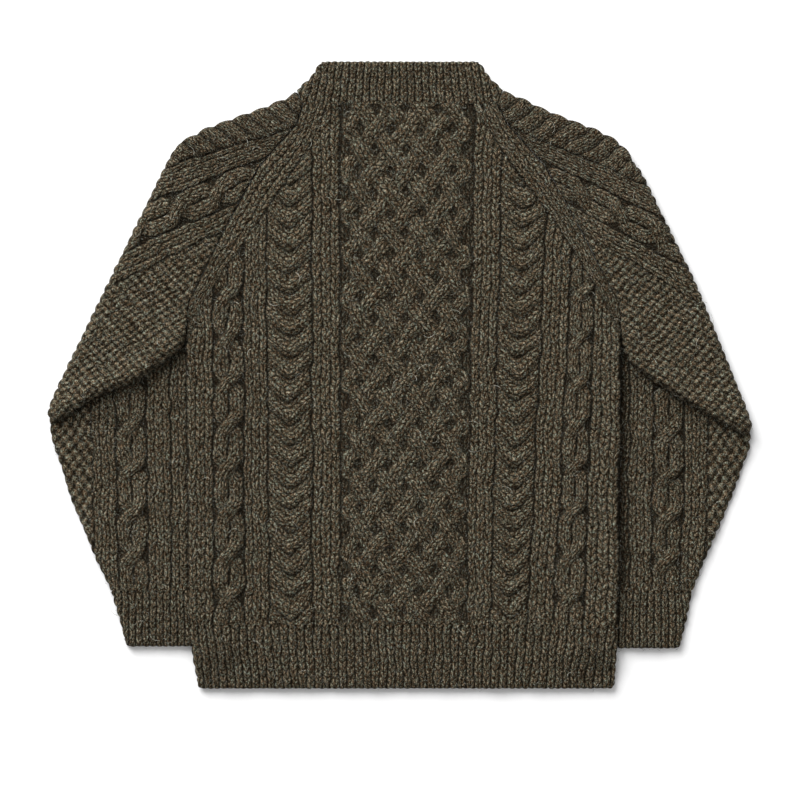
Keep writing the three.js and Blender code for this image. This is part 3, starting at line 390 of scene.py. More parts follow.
def knit_panel(outline, kinds, pattern, under, thick, step=(1.75, 1.5), slope=0.0, swell=None):
    """A panel of knit: its upper face in full relief, rounded edges and a plain underside.
    kinds names each side of the outline, and pattern gives height, stitch across and along."""
    if sum(a[0] * b[1] - b[0] * a[1] for a, b in zip(outline, outline[1:] + outline[:1])) < 0:
        outline, kinds = outline[::-1], kinds[-2::-1] + kinds[-1:]
    points, quads, loop, used = lattice(outline, *step, slope)
    x, y = points.T
    sides = list(zip(outline, outline[1:] + outline[:1], kinds))
    height, u, v = pattern(x, y)
    height = height + 1.0 * (v_stitches(u, v) - 0.6) * smooth(height / 1.5)
    # How far a place lies below its surroundings, kept so that the wool material can paint shade into low places
    relief_for_painted_shade = np.minimum(height, 2.1 - 0.95 * (around(height, used, 3) - height))
    height = height + 0.3 * (chance(np.floor(2 * u), np.floor(v)) - 0.5)
    height = height + 0.5 * wander(y, x, 2) + 0.3 * wander(2 * x, 2 * y, 0)
    ground = under(x, y)
    top = ground + thick + height + (swell(x, y) if swell else 0)
    blend = np.full(x.shape, np.inf)
    nearest = np.full(x.shape, np.inf)
    run = np.ones(x.shape)
    share = np.ones(x.shape)
    low_run = np.ones(x.shape)
    over_fold = np.zeros(x.shape, bool)
    to_seam = np.full(x.shape, np.inf)
    push = np.zeros((len(x), 2))
    so_far = 0.0
    for start, end, kind in sides:
        above, part, below, pitch, depth = edges[kind]
        d, along = from_line(x, y, [start, end])
        along = along + so_far
        if kind == "seam":
            to_seam = np.minimum(to_seam, d)
        so_far += math.dist(start, end)
        closer = d / above < blend
        blend = np.where(closer, d / above, blend)
        share = np.where(closer, part, share)
        low_run = np.where(closer, below, low_run)
        over_fold = np.where(closer, kind == "fold_over", over_fold)
        out = np.array([end[1] - start[1], start[0] - end[0]]) / math.hypot(end[0] - start[0], end[1] - start[1])
        if kind == "rope":
            along = shoulder_run(x, y) - 0.8 * pitch + 0.08 * pitch
        lump = np.floor(along / pitch)
        size = 0.6 + 0.8 * chance(lump, 3.0)
        bump = depth * size * (np.abs(np.sin(math.pi * along / pitch)) ** 0.7 - 0.4) * smooth(1 - d / (1.5 * above))
        push = np.where((d < nearest)[:, None], bump[:, None] * out, push)
        nearest = np.minimum(nearest, d)
    edge_z = ground + share * (top - ground)
    z = edge_z + (top - edge_z) * dome(1 - np.clip(blend, 0, 1))
    z = np.minimum(z, ground + thick + seam_height + (top - ground - thick - seam_height) * smooth(to_seam / 4))
    z = np.where(to_seam < 5, np.maximum(z, ground + thick + seam_height - to_seam), z)
    points = points + push
    ring = np.array(loop)
    at = points[ring]
    n = len(ring)
    ahead, behind = np.roll(at, -3, 0), np.roll(at, 3, 0)
    tangent = (ahead - behind) / np.hypot(*(ahead - behind).T)[:, None]
    inwards = np.stack([-tangent[:, 1], tangent[:, 0]], 1)
    floor_z, rim_z, reach = np.where(over_fold[ring], 0.6, ground[ring]), z[ring], low_run[ring]
    # The plain underside: the rim's last ring with a coarse grid of points inside it, and the
    # rim draws back less wherever it would cross itself
    low, high = np.array(outline).min(0), np.array(outline).max(0)
    gx, gy = np.meshgrid(np.arange(low[0], high[0], 14.0), np.arange(low[1], high[1], 14.0))
    gx, gy = gx.ravel(), gy.ravel()
    far, _ = from_line(gx, gy, outline + outline[:1])
    pick = inside(gx, gy, outline) & (far > 13)
    inner_points = np.stack([gx[pick], gy[pick]], 1)
    border = [(k, (k + 1) % n) for k in range(n)]
    for _ in range(12):
        flat = at + inwards * reach[:, None]
        cloud = [Vector(p) for p in np.concatenate([flat, inner_points])]
        made, _, tris, origin, _, _ = delaunay_2d_cdt(cloud, border, [], 1, 1e-5)
        crossed = [spot for spot, sources in zip(made, origin) if len(sources) != 1]
        if not crossed:
            break
        for spot in crossed:
            reach = reach * np.where(np.hypot(flat[:, 0] - spot.x, flat[:, 1] - spot.y) < 5, 0.5, 1)
    print("CROSSED", len(crossed))
    verts = [np.column_stack([points, z])]
    count = len(points)
    rings = [ring]
    for angle in (math.pi / 4, math.pi / 2):
        spots = at + inwards * (reach * (1 - math.cos(angle)))[:, None]
        drop = rim_z + (floor_z - rim_z) * math.sin(angle)
        verts.append(np.column_stack([spots, drop]))
        rings.append(np.arange(count, count + n))
        count += n
    faces = quads.tolist()
    for upper, lower in zip(rings[:-1], rings[1:]):
        faces += np.stack([lower, np.roll(lower, -1), np.roll(upper, -1), upper], 1).tolist()
    names = []
    extra = []
    for spot, sources in zip(made, origin):
        if sources and sources[0] < n:
            names.append(int(rings[-1][sources[0]]))
        else:
            names.append(count + len(extra))
            extra.append((spot.x, spot.y))
    extra = np.array(extra) if extra else np.zeros((0, 2))
    verts.append(np.column_stack([extra, under(extra[:, 0], extra[:, 1])]))
    faces += [[names[k] for k in reversed(tri)] for tri in tris]
    verts = np.concatenate(verts)
    # Each place's stitch, and how low it lies under its surroundings, which the wool material turns into painted shade
    stitches = np.zeros((len(verts), 3))
    stitches[:, 0], stitches[:, 1] = verts[:, 0] / stitch, verts[:, 1] / row
    stitches[:len(x), 0], stitches[:len(x), 1], stitches[:len(x), 2] = u, v, relief_for_painted_shade
    return verts, faces, stitches


def finish_piece(name, panels, node):
    """One mesh from its panels, riding with the garment in place of its CAD node."""
    verts, faces, stitches = [], [], []
    for panel_verts, panel_faces, panel_stitches in panels:
        base = sum(len(v) for v in verts)
        verts.append(panel_verts)
        stitches.append(panel_stitches)
        faces += [[base + k for k in face] for face in panel_faces]
    mesh = bpy.data.meshes.new(name)
    mesh.from_pydata(((np.concatenate(verts) + laid_at) * 0.001).tolist(), [], faces)
    marks = mesh.attributes.new("stitch", "FLOAT_VECTOR", "POINT")
    marks.data.foreach_set("vector", np.concatenate(stitches).astype(np.float32).ravel())
    mesh.shade_smooth()
    mesh.set_sharp_from_angle(angle=math.radians(72))
    mesh.materials.append(wool)
    mesh.validate()
    piece = bpy.data.objects.new(name, mesh)
    bpy.context.scene.collection.objects.link(piece)
    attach(piece, "root")
    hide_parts(node)
    return piece


def tube_hollow(outline, under):
    """The flat hollow inside a tube, between its two layers, with its faces turned to the hollow."""
    ring = shrunk(outline, 5)
    low, high = np.array(outline).min(0), np.array(outline).max(0)
    gx, gy = (g.ravel() for g in np.meshgrid(np.arange(low[0], high[0], 16.0), np.arange(low[1], high[1], 16.0)))
    far, _ = from_line(gx, gy, outline + outline[:1])
    pick = inside(gx, gy, outline) & (far > 12)
    cloud = np.concatenate([ring, np.stack([gx[pick], gy[pick]], 1)])
    border = [(k, (k + 1) % len(ring)) for k in range(len(ring))]
    spots, _, tris, _, _, _ = delaunay_2d_cdt([Vector(p) for p in cloud], border, [], 1, 1e-4)
    spots = np.array([tuple(p) for p in spots])
    uses = {}
    for tri in tris:
        for a, b in zip(tri, tri[1:] + tri[:1]):
            uses[frozenset((a, b))] = uses.get(frozenset((a, b)), 0) + 1
    rim = {k for pair, n in uses.items() if n == 1 for k in pair}
    tris = [tri for tri in tris if not rim.issuperset(tri)]
    z = under(*spots.T) + layer + gap / 2
    free = sorted({k for tri in tris for k in tri} - rim)
    used = sorted({k for tri in tris for k in tri})
    low_name = {k: number for number, k in enumerate(used)}
    high_name = {**low_name, **{k: len(used) + number for number, k in enumerate(free)}}
    half = np.array([0 if k in rim else gap / 2 for k in used])
    verts = np.concatenate([np.column_stack([spots[used], z[used] - half]), np.column_stack([spots[free], z[free] + gap / 2])])
    faces = [[low_name[k] for k in tri] for tri in tris]
    faces += [[high_name[k] for k in reversed(tri)] for tri in tris]
    stitches = np.column_stack([verts[:, 0] / stitch, verts[:, 1] / row, 0 * verts[:, 0]])
    return verts, faces, stitches


def shrunk(outline, by):
    """The outline moved inwards all round."""
    turn = 1 if sum(a[0] * b[1] - b[0] * a[1] for a, b in zip(outline, outline[1:] + outline[:1])) > 0 else -1
    moved = []
    for before, here, after in zip(outline[-1:] + outline[:-1], outline, outline[1:] + outline[:1]):
        a, b = np.subtract(here, before), np.subtract(after, here)
        a, b = a / np.hypot(*a), b / np.hypot(*b)
        middle = np.array([-a[1] - b[1], a[0] + b[0]]) * turn
        middle = middle / max(np.hypot(*middle), 1e-6)
        lean = max(0.55, abs(middle @ np.array([-a[1], a[0]])))
        moved.append(tuple(np.array(here) + middle * by / lean))
    return moved


def softened(points, reach):
    """The same line with each bend rounded off, as cloth turns."""
    made = [points[0]]
    for before, here, after in zip(points[:-2], points[1:-1], points[2:]):
        cut = []
        for other in (before, after):
            length = math.dist(other, here)
            f = min(reach, 0.45 * length) / length
            cut.append((here[0] + (other[0] - here[0]) * f, here[1] + (other[1] - here[1]) * f))
        for t in (0, 0.25, 0.5, 0.75, 1):
            a, b, c = (1 - t) ** 2, 2 * t * (1 - t), t * t
            made.append((a * cut[0][0] + b * here[0] + c * cut[1][0], a * cut[0][1] + b * here[1] + c * cut[1][1]))
    return made + [points[-1]]


def joined(chains):
    """One closed outline from chains of points, each with its kind of edge and how far it softens."""
    outline, kinds = [], []
    for kind, reach, points in chains:
        points = softened(points, reach) if reach else points
        outline += points[:-1]
        kinds += [kind] * (len(points) - 1)
    return outline, kinds


def area_of(outline):
    pairs = zip(outline, outline[1:] + outline[:1])
    return abs(sum(a[0] * b[1] - b[0] * a[1] for a, b in pairs)) / 2e6


# Heather wool: brown and grey olive fibres spun together with near black and pale ones. The
# stitch attribute says where in a stitch a place is, and how low it lies, for painted shade in the knit
wool = bpy.data.materials.new("heather_wool")
wool.use_nodes = True
tree = wool.node_tree
tree.nodes.clear()


def link_up(kind, settings=None, **sources):
    """A node of a kind, with its settings and what feeds each of its inputs."""
    made = tree.nodes.new(kind)
    for key, value in (settings or {}).items():
        setattr(made, key, value)
    for key, value in sources.items():
        socket = made.inputs[int(key[1:])] if key[0] == "i" and key[1:].isdigit() else made.inputs[key.replace("_", " ")]
        if isinstance(value, bpy.types.NodeSocket):
            tree.links.new(value, socket)
        else:
            socket.default_value = value
    return made


def calc(operation, a, b=0.0, c=0.0):
    return link_up("ShaderNodeMath", {"operation": operation}, i0=a, i1=b, i2=c).outputs[0]


def blend_colours(factor, a, b, mode="MIX"):
    made = link_up("ShaderNodeMix", {"data_type": "RGBA", "blend_type": mode}, i0=factor, i6=a, i7=b)
    return made.outputs[2]


place = link_up("ShaderNodeTexCoord").outputs["Object"]
mark = link_up("ShaderNodeAttribute", {"attribute_name": "stitch"}).outputs["Vector"]
split = link_up("ShaderNodeSeparateXYZ", Vector=mark)
across, along, relief_for_painted_shade = split.outputs


def noise(scale, detail, rough, vector=place, distortion=0.0):
    made = link_up("ShaderNodeTexNoise", None, Vector=vector, Scale=scale, Detail=detail, Roughness=rough, Distortion=distortion)
    return made.outputs["Fac"]


def ramp(value, low, high):
    return link_up("ShaderNodeMapRange", {"interpolation_type": "SMOOTHSTEP"}, Value=value, From_Min=low, From_Max=high).outputs[0]


half = calc("ABSOLUTE", calc("SUBTRACT", calc("FRACT", across), 0.5))
slant = calc("SUBTRACT", along, calc("MULTIPLY", half, 1.7))
leg = calc("MULTIPLY_ADD", calc("FRACT", slant), 2.0, -1.0)
leg = calc("SUBTRACT", 1.0, calc("POWER", calc("ABSOLUTE", leg), 2.0))
column = calc("MULTIPLY_ADD", half, 4.0, -1.0)
column = calc("SUBTRACT", 1.0, calc("POWER", calc("ABSOLUTE", column), 2.0))
stitch_height = calc("MULTIPLY", leg, column)
side = calc("FLOOR", calc("MULTIPLY", across, 2.0))
ply = link_up("ShaderNodeCombineXYZ", None, X=calc("MULTIPLY", slant, 3.0), Y=calc("MULTIPLY", half, 3.6),
              Z=calc("MULTIPLY_ADD", side, 3.7, calc("MULTIPLY", relief_for_painted_shade, 0.3))).outputs[0]
spun = noise(1.0, 2, 0.6, vector=ply, distortion=0.4)
fleck = noise(620, 2, 0.8, distortion=0.8)
fibre = noise(1300, 2, 0.6, distortion=1.0)
patch = noise(120, 4, 0.7)
tint = noise(420, 1, 0.5)

# Its shades from the darkest fibre to the palest, then browner or more grey olive from place to
# place, then painted shade between the legs of the stitches and in the low places between the cables
shade = calc("ADD", calc("MULTIPLY", spun, 0.22), calc("MULTIPLY", fleck, 0.78))
shade = calc("ADD", shade, calc("MULTIPLY", calc("SUBTRACT", patch, 0.5), 0.10))
shade = link_up("ShaderNodeMapRange", None, Value=shade, From_Min=0.41, From_Max=0.592).outputs[0]
shades = link_up("ShaderNodeValToRGB", None, Fac=shade)
stops = [(0.0, (0.006, 0.0035, 0.001, 1)), (0.28, (0.050, 0.033, 0.017, 1)), (0.5, (0.102, 0.078, 0.050, 1)),
         (0.72, (0.154, 0.137, 0.099, 1)), (0.9, (0.212, 0.212, 0.168, 1)), (1.0, (0.31, 0.323, 0.272, 1))]
for spot, value in stops[1:-1]:
    shades.color_ramp.elements.new(spot)
for element, (spot, value) in zip(shades.color_ramp.elements, stops):
    element.position = spot
    element.color = value
browner = blend_colours(ramp(tint, 0.38, 0.62), (1.20, 0.97, 0.82, 1), (0.90, 1.0, 0.96, 1))
colour = blend_colours(1.0, shades.outputs[0], browner, "MULTIPLY")
# Painted shade: near black between the legs of each stitch, where shadow falls in the knit
painted_gap_shade = calc("MULTIPLY", ramp(stitch_height, 0.66, 0.04), 0.8)
# Painted shade: the wool turns near black where the relief lies low, standing in for shadow in the hollows
hollow = calc("MULTIPLY", ramp(relief_for_painted_shade, 2.0, 0.2), 0.72)
colour = blend_colours(painted_gap_shade, colour, (0.004, 0.0024, 0.0008, 1))
colour = blend_colours(hollow, colour, (0.005, 0.0032, 0.0012, 1))

bump_height = calc("ADD", calc("MULTIPLY", stitch_height, 0.0016), calc("MULTIPLY", fibre, 0.0016))
bump_height = calc("ADD", bump_height, calc("MULTIPLY", spun, 0.0022))
bump = link_up("ShaderNodeBump", None, Strength=1.0, Distance=1.0, Height=bump_height).outputs[0]
shader = link_up("ShaderNodeBsdfPrincipled", None, Base_Color=colour, Roughness=0.92, Normal=bump)
shader.inputs["Sheen Weight"].default_value = 0.02
shader.inputs["Sheen Roughness"].default_value = 0.5
shader.inputs["Sheen Tint"].default_value = (0.8, 0.74, 0.62, 1)
shader.inputs["Specular IOR Level"].default_value = 0.04
end = link_up("ShaderNodeOutputMaterial")
tree.links.new(shader.outputs[0], end.inputs[0])

left_seam = [(r[0], r[1]) for r in raglan["left"]]
right_seam = [(r[0], r[1]) for r in raglan["right"]]
back_outline = [(-231, hem_seam)] + left_seam + right_seam[::-1] + [(238.7, hem_seam)]
back_kinds = ["side"] + ["raglan"] * 5 + ["seam"] + ["raglan"] * 5 + ["side", "seam"]
back_sides = [[back_outline[0], back_outline[1]], [back_outline[-1], back_outline[-2]]]
back_panel = knit_panel(
    back_outline, back_kinds, back_pattern, lambda x, y: lift(x, y) + layer + gap, layer, (1.75, 1.5), 0,
    lambda x, y: sum(3.2 * np.exp(-((from_line(x, y, line)[0] - 6) / 9) ** 2) for line in back_sides))
back = finish_piece("back_knit", [back_panel], "back")
area_of(back_outline)


# Front. The lowest layer, which lies face down, so it is plain here: its upper side is hidden and
# its underside rests. It ends at the neck in the scoop that the neckband is picked up from.
front_neck_drop = 80.0
neck_seam_half = 106.5
scoop = [(neck_seam_half * f, neck_seam - front_neck_drop * (1 - f * f) ** 0.7)
         for f in (-1, -0.94, -0.82, -0.66, -0.45, -0.2, 0, 0.2, 0.45, 0.66, 0.82, 0.94, 1)]


def plain(x, y):
    return np.zeros(x.shape), x / stitch, y / row


front_outline = [(-231, hem_seam)] + left_seam + scoop[1:-1] + right_seam[::-1] + [(238.7, hem_seam)]
front_outline = shrunk(front_outline, 1.2)
front_kinds = ["seam"] * len(front_outline)
front_panel = knit_panel(front_outline, front_kinds, plain, lift, layer - 0.6, (5, 5))
front = finish_piece("front_knit", [front_panel], "front")
area_of(front_outline)

# Hem ribs. A single rib knit down from each body panel on finer needles, so that it draws in, and
# cast off. The back one shows; the front one lies plain beneath it.
hem_rib = 9.0
rib_height = 2.3
rib_sides = [(-274.1, -231, 238.7), (-304, -228, 237.5), (-344.0, -221.5, 234.5)]


def ribbed(across, down, narrow=1.0):
    """Knit columns with a purl column sunk between each two."""
    u = across
    swell = np.abs(np.sin(math.pi * u)) ** 1.3
    return (rib_height + 1.0) * (0.1 + 0.9 * swell), u, down


def hem_pattern(x, y):
    x, y = x + 0.8 * wander(x, y, 0), y + wander(x, y, 1)
    lean = 1 + 0.03 * smooth((-274 - y) / 70)
    return ribbed((x - 3) * lean / hem_rib, y / 7.6)


hem_outline, hem_kinds = joined([
    ("side", 12, [(left, y) for y, left, _ in rib_sides[:2]] + [(-222.5, -335)]),
    ("cast_off", 9, [(-222.5, -335), (-221.5, -344.0), (-212, -344.2)]),
    ("cast_off", 0, [(-212, -344.2), (225, -344.0)]),
    ("cast_off", 9, [(225, -344.0), (234.5, -344.0), (235.5, -335)]),
    ("side", 12, [(235.5, -335)] + [(right, y) for y, _, right in rib_sides[1::-1]]),
    ("seam", 0, [rib_sides[0][2:] + rib_sides[0][:1], rib_sides[0][1::-1]]),
])
hem_panel = knit_panel(hem_outline, hem_kinds, hem_pattern, lambda x, y: lift(x, y) + layer + gap, layer, (1.3, 1.6))
back_hem = finish_piece("back_hem_knit", [hem_panel], "back_hem_rib")
area_of(hem_outline)
low_hem = shrunk(hem_outline, 1.5)
front_hem_panel = knit_panel(low_hem, ["seam"] * len(low_hem), plain, lift, layer - 0.6, (5, 5))
front_hem = finish_piece("front_hem_knit", [front_hem_panel], "front_hem_rib")
area_of(low_hem)

# Sleeves. Each is a tube, pressed flat to two layers and folded over at its outer edge, so that
# the upper sleeve lies on the forearm. A rope follows the shoulder, then come knit columns, a
# linked cable, more columns, and moss stitch down to the underarm.
upper_grooves = [
    ("rope", 305.0, -0.02), ("columns", 272.0, 0.085), ("link", 240.0, 0.21),
    ("columns", 192.0, 0.39), ("moss", 160.0, 0.52), ("end", 36.0, 1.05),
]
forearm_grooves = [
    ("inner", 190.0, 190.0), ("columns", 252.0, 250.8), ("link", 279.0, 275.8),
    ("columns", 313.5, 308.5), ("moss", 340.0, 334.0), ("end", 420.0, 420.0),
]
rope_repeat = 21.0
elbow_y = -27.5
cuff_y = -236.5


def moss(u, v):
    """Knit and purl stitches that change places in every row: a proud bead at each whole u and v,
    and a lower one midway between four of them."""
    m, n = np.round(u), np.round(v)
    i, j = np.floor(u) + 0.5, np.floor(v) + 0.5
    lower = (u - i) ** 2 + (v - j) ** 2 < (u - m) ** 2 + (v - n) ** 2
    m, n = np.where(lower, i, m), np.where(lower, j, n)
    du, dv = u - m, v - n
    bead = np.clip(1 - (2.6 * du) ** 2, 0, 1) * np.clip(1 - (2.6 * dv) ** 2, 0, 1)
    proud = np.where(lower, 1.7, 2.1) * (0.75 + 0.5 * chance(m, n))
    return 0.2 + proud * bead**0.7, np.floor(m) + 0.25 + 0.62 * du, np.floor(n) + 0.925 - 1.054 * du + 1.24 * dv


def sleeve_moss(out, y):
    return moss((out + 2.75 * y / 8.6) / 10.7, y / 8.6)


def on_line(line, part):
    """The point at a part of the way along a line."""
    lengths = [math.dist(a, b) for a, b in zip(line[:-1], line[1:])]
    want = part * sum(lengths)
    for (a, b), length in zip(zip(line[:-1], line[1:]), lengths):
        if want <= length or b == line[-1]:
            f = want / length
            return a[0] + (b[0] - a[0]) * f, a[1] + (b[1] - a[1]) * f
        want -= length


def at_height(line, y):
    ys = [p[1] for p in line]
    return float(np.interp(y, ys, [p[0] for p in line]))


def rope(up, along):
    """Two thick strands twisted round each other, seen as slanting lumps one after another."""
    f = up / 26
    lump = saw(along / rope_repeat - 0.8 * f)
    height = 0.8 + 4.2 * np.sin(math.pi * lump**0.8) ** 0.7
    return height * smooth(up / 4 + 0.25), 3 * lump, (up * 1.2 + along * 0.2) / row


def upper_pattern(side):
    seam = left_seam if side == "left" else right_seam
    turn = {"left": [(-240.5, 254.5), (-305.8, 112.6), (-380.8, -41.6)],
            "right": [(256.5, 233), (316.8, 98.5), (380, -59)]}[side]
    starts = [(at_height(seam, min(y, 298)), y) for _, y, _ in upper_grooves]
    ends = [on_line(turn, part) for _, _, part in upper_grooves]

    def pattern(x, y):
        x, y = x + wander(x, y, 0), y + wander(x, y, 1)
        beads = sleeve_moss(hand[side] * x, y)
        height, u, v = beads
        lines = []
        for (sx, sy), (ex, ey) in zip(starts, ends):
            lines.append(sy + (x - sx) / (ex - sx) * (ey - sy))
        size = math.hypot(1, sleeve_slope)
        along = shoulder_run(x, y)
        for k, (kind, _, _) in enumerate(upper_grooves[:-1]):
            top, low = lines[k], lines[k + 1]
            here = (y <= top) & (y > low) if k else y > low
            across = np.clip((top - y) / np.maximum(top - low, 1), 0, 1)
            if kind == "rope":
                found = rope((y - low) / size, along)
            elif kind == "columns":
                found = columns(across, along, 4 if k == 1 else 3)
                if k == 1:
                    found = (found[0] + 0.7 * (1 - smooth(across * 5)), found[1], found[2])
            elif kind == "link":
                found = link(across, along - 8, 30)
            else:
                found = beads
            height, u, v = (np.where(here, new, old) for new, old in zip(found, (height, u, v)))
        return height, u, v

    return pattern


def forearm_pattern(side, covered):
    first_crossing = {"left": (375 - 425) * 1.1, "right": (375 - 432) * 1.1}[side]

    def pattern(x, y):
        x, y = x + wander(x, y, 0), y + wander(x, y, 1)
        out = x * hand[side]
        part = (elbow_y - y) / (elbow_y - cuff_y)
        height, u, v = np.zeros(x.shape), x / stitch, y / row
        for (kind, top, low), (_, next_top, next_low) in zip(forearm_grooves[:-1], forearm_grooves[1:]):
            a, b = top + (low - top) * part, next_top + (next_low - next_top) * part
            here = (out >= a) & (out < b)
            across = np.clip((out - a) / (b - a), 0, 1)
            if side == "left":
                across = 1 - across
            if kind == "inner":
                found = columns(across, y, 7)
            elif kind == "columns":
                found = columns(across, y, 3)
            elif kind == "link":
                found = link(across, y - first_crossing, 32)
            else:
                found = moss(out / 11, y / 15.4)
            height, u, v = (np.where(here, new, old) for new, old in zip(found, (height, u, v)))
        # The relief flattens under the body and a little beyond its side edge, and the material paints the low relief
        # there darker: a painted shadow along the body's edge
        seen = smooth((out - {"left": 231, "right": 245}[side]) / {"left": 6, "right": 9}[side])
        under_sleeve = np.where(inside(x, y, covered), from_line(x, y, covered)[0], 0)
        seen = seen * (1 - smooth((under_sleeve - 4) / 6))
        # Beside the upper sleeve's lower edge the relief flattens as well, so the material paints shade there: a
        # painted shadow under the edge of the upper sleeve
        beside = np.where(inside(x, y, covered), 0, from_line(x, y, covered)[0])
        seen = seen * smooth((beside + 2) / 10)
        return 0.6 + (height - 0.6) * seen, u, v

    return pattern


sleeve_pieces = []
for side in ("left", "right"):
    shape = sleeves[side]
    seam = left_seam if side == "left" else right_seam
    out = hand[side]
    seam_off = [(px + out * 0.6, py) for px, py in seam]
    upper_outline, upper_kinds = joined([
        ("raglan", 0, shape["shoulder"][:2]),
        ("rope", 20, shape["shoulder"][1:]),
        ("fold_over", 24, shape["fold"]),
        ("tube", 20, shape["underarm"]),
        ("raglan", 0, [shape["underarm"][-1]] + seam_off[1:-1] + [shape["shoulder"][0]]),
    ])
    slope = -out * math.atan(0.4366)
    roll = shape["underarm"]
    upper = knit_panel(upper_outline, upper_kinds, upper_pattern(side), lift, two_layers, (1.75, 1.6), slope,
                       lambda x, y: 8.0 * np.exp(-((from_line(x, y, roll)[0] - 9) / 12) ** 2))
    inner = shape["inner"]
    forearm_outline, forearm_kinds = joined([
        ("tube", 20, shape["outer"]),
        ("seam", 0, [shape["outer"][-1], inner[-1]]),
        ("tube", 30, inner[::-1][:-1] + [(inner[0][0] - 14 * out, inner[0][1] - 30)]),
        ("tube", 0, [(inner[0][0] - 14 * out, inner[0][1] - 30), shape["outer"][0]]),
    ])
    forearm = knit_panel(forearm_outline, forearm_kinds, forearm_pattern(side, upper_outline),
                         lambda x, y: 0 * x, two_layers, (1.8, 1.7))
    cuff_seam = (inner[-1][0], cuff_y)
    hollows = [tube_hollow(upper_outline, lift), tube_hollow(forearm_outline, lambda x, y: 0 * x)]
    sleeve = finish_piece("sleeve_" + side + "_knit", [upper, forearm] + hollows, "sleeve_" + side)
    both = 2 * (area_of(upper_outline) + area_of(forearm_outline))
    print("sleeve", side, both)

    # Cuffs. Single rib drawn in at the wrist, on the same tube of two layers, and cast off.
    top_in, top_out = (inner[-1][0], cuff_y - 0.1), (shape["cuff"][0][0], cuff_y - 0.1)
    low_out = shape["cuff"][-1]
    low_in = (inner[-1][0] + 2 * out, low_out[1] + 0.2)
    cuff_outline, cuff_kinds = joined([
        ("seam", 0, [top_in, top_out]),
        ("tube", 12, [top_out, shape["cuff"][1], (low_out[0] + 2 * out, low_out[1] + 9)]),
        ("cast_off", 9, [(low_out[0] + 2 * out, low_out[1] + 9), low_out, (low_out[0] - 9 * out, low_out[1])]),
        ("cast_off", 0, [(low_out[0] - 9 * out, low_out[1]), low_in]),
        ("tube", 0, [low_in, top_in]),
    ])

    def cuff_pattern(x, y, shape=shape):
        x, y = x + 0.6 * wander(x, y, 0), y + wander(x, y, 1)
        return ribbed((x - 2) / 7.7, y / 7.6)

    cuff_panel = knit_panel(cuff_outline, cuff_kinds, cuff_pattern, lambda x, y: 0 * x, two_layers, (1.4, 1.6))
    cuff_hollow = tube_hollow(cuff_outline, lambda x, y: 0 * x)
    cuff = finish_piece("cuff_" + side + "_knit", [cuff_panel, cuff_hollow], "cuff_" + side)
    2 * area_of(cuff_outline)
    sleeve_pieces += [sleeve, cuff]

# Neckband. Single rib picked up round the neck, straight at the back and scooped at the front,
# and cast off. The front part lies hidden beneath.
neck_outline = [(-106.8, 298.2), (106.8, 298.2), (113, 311.5), (108, 318), (99, 325), (86, 344.0), (-86, 344.0),
                (-99, 325), (-108, 318), (-113, 311)]
neck_kinds = ["seam", "raglan", "tube", "tube", "tube", "cast_off", "tube", "tube", "tube", "raglan"]


def neck_pattern(x, y):
    x, y = x + 0.6 * wander(x, y, 0), y + wander(x, y, 1)
    fan = 1 + 0.1 * (y - 298) / 46
    return ribbed(x * fan / 8.5, y / 6.6)


neck_panel = knit_panel(neck_outline, neck_kinds, neck_pattern, lambda x, y: 0 * x + layer + gap, layer, (1.4, 1.5))
turns = [math.sin(0.5 * math.pi * k / 12) for k in range(-12, 13)]
front_band = [(neck_seam_half * f, 298.3 - 78.5 * (1 - f * f) ** 0.7) for f in turns]
front_band += [(86 * f, 344.2 - 78.5 * (1 - f * f) ** 0.7) for f in turns[::-1]]
band_panel = knit_panel(front_band, ["seam"] * len(front_band), plain, lambda x, y: 0 * x, layer - 0.6, (4, 4))
neckband = finish_piece("neckband_knit", [neck_panel, band_panel], "neckband")
band_area = area_of(neck_outline) + area_of(front_band)

# Stray fibres. Rough wool sheds fine curly hairs, pale ones most seen, which stand a little proud
# of every piece and blur its outline. Geometry Nodes scatter them over the knit.
def stray_wool(name, dark, pale):
    global tree
    made = bpy.data.materials.new(name)
    made.use_nodes = True
    tree = made.node_tree
    tree.nodes.clear()
    spot = link_up("ShaderNodeTexCoord").outputs["Object"]
    tint = ramp(noise(420, 2, 0.6, vector=spot), 0.42, 0.66)
    shine = link_up("ShaderNodeBsdfPrincipled", None, Base_Color=blend_colours(tint, dark, pale), Roughness=0.7)
    tree.links.new(shine.outputs[0], link_up("ShaderNodeOutputMaterial").inputs[0])
    return made


short_wool = stray_wool("short_stray_wool", (0.012, 0.009, 0.005, 1), (0.42, 0.42, 0.36, 1))
long_wool = stray_wool("long_stray_wool", (0.20, 0.19, 0.14, 1), (0.62, 0.62, 0.54, 1))

hairs = bpy.data.node_groups.new("stray_fibres", "GeometryNodeTree")
hairs.is_modifier = True
tree = hairs
inputs = {}
hairs.interface.new_socket("Knit", in_out="INPUT", socket_type="NodeSocketGeometry")
for name, kind, value in [("Hairs per square metre", "NodeSocketFloat", 16000.0), ("Length", "NodeSocketFloat", 0.006),
                          ("Half width", "NodeSocketFloat", 0.00011), ("Bends", "NodeSocketInt", 4),
                          ("Seed", "NodeSocketInt", 5), ("Wool", "NodeSocketMaterial", short_wool)]:
    inputs[name] = hairs.interface.new_socket(name, in_out="INPUT", socket_type=kind)
    inputs[name].default_value = value
hairs.interface.new_socket("Hairs", in_out="OUTPUT", socket_type="NodeSocketGeometry")
given = link_up("NodeGroupInput").outputs
facing = link_up("ShaderNodeSeparateXYZ", None, i0=link_up("GeometryNodeInputNormal").outputs[0]).outputs[2]
upward = link_up("FunctionNodeCompare", {"operation": "GREATER_THAN"}, i0=facing, i1=0.05).outputs[0]
spread = link_up("GeometryNodeDistributePointsOnFaces", None, Mesh=given["Knit"], Selection=upward,
                 Density=given["Hairs per square metre"], Seed=given["Seed"]).outputs
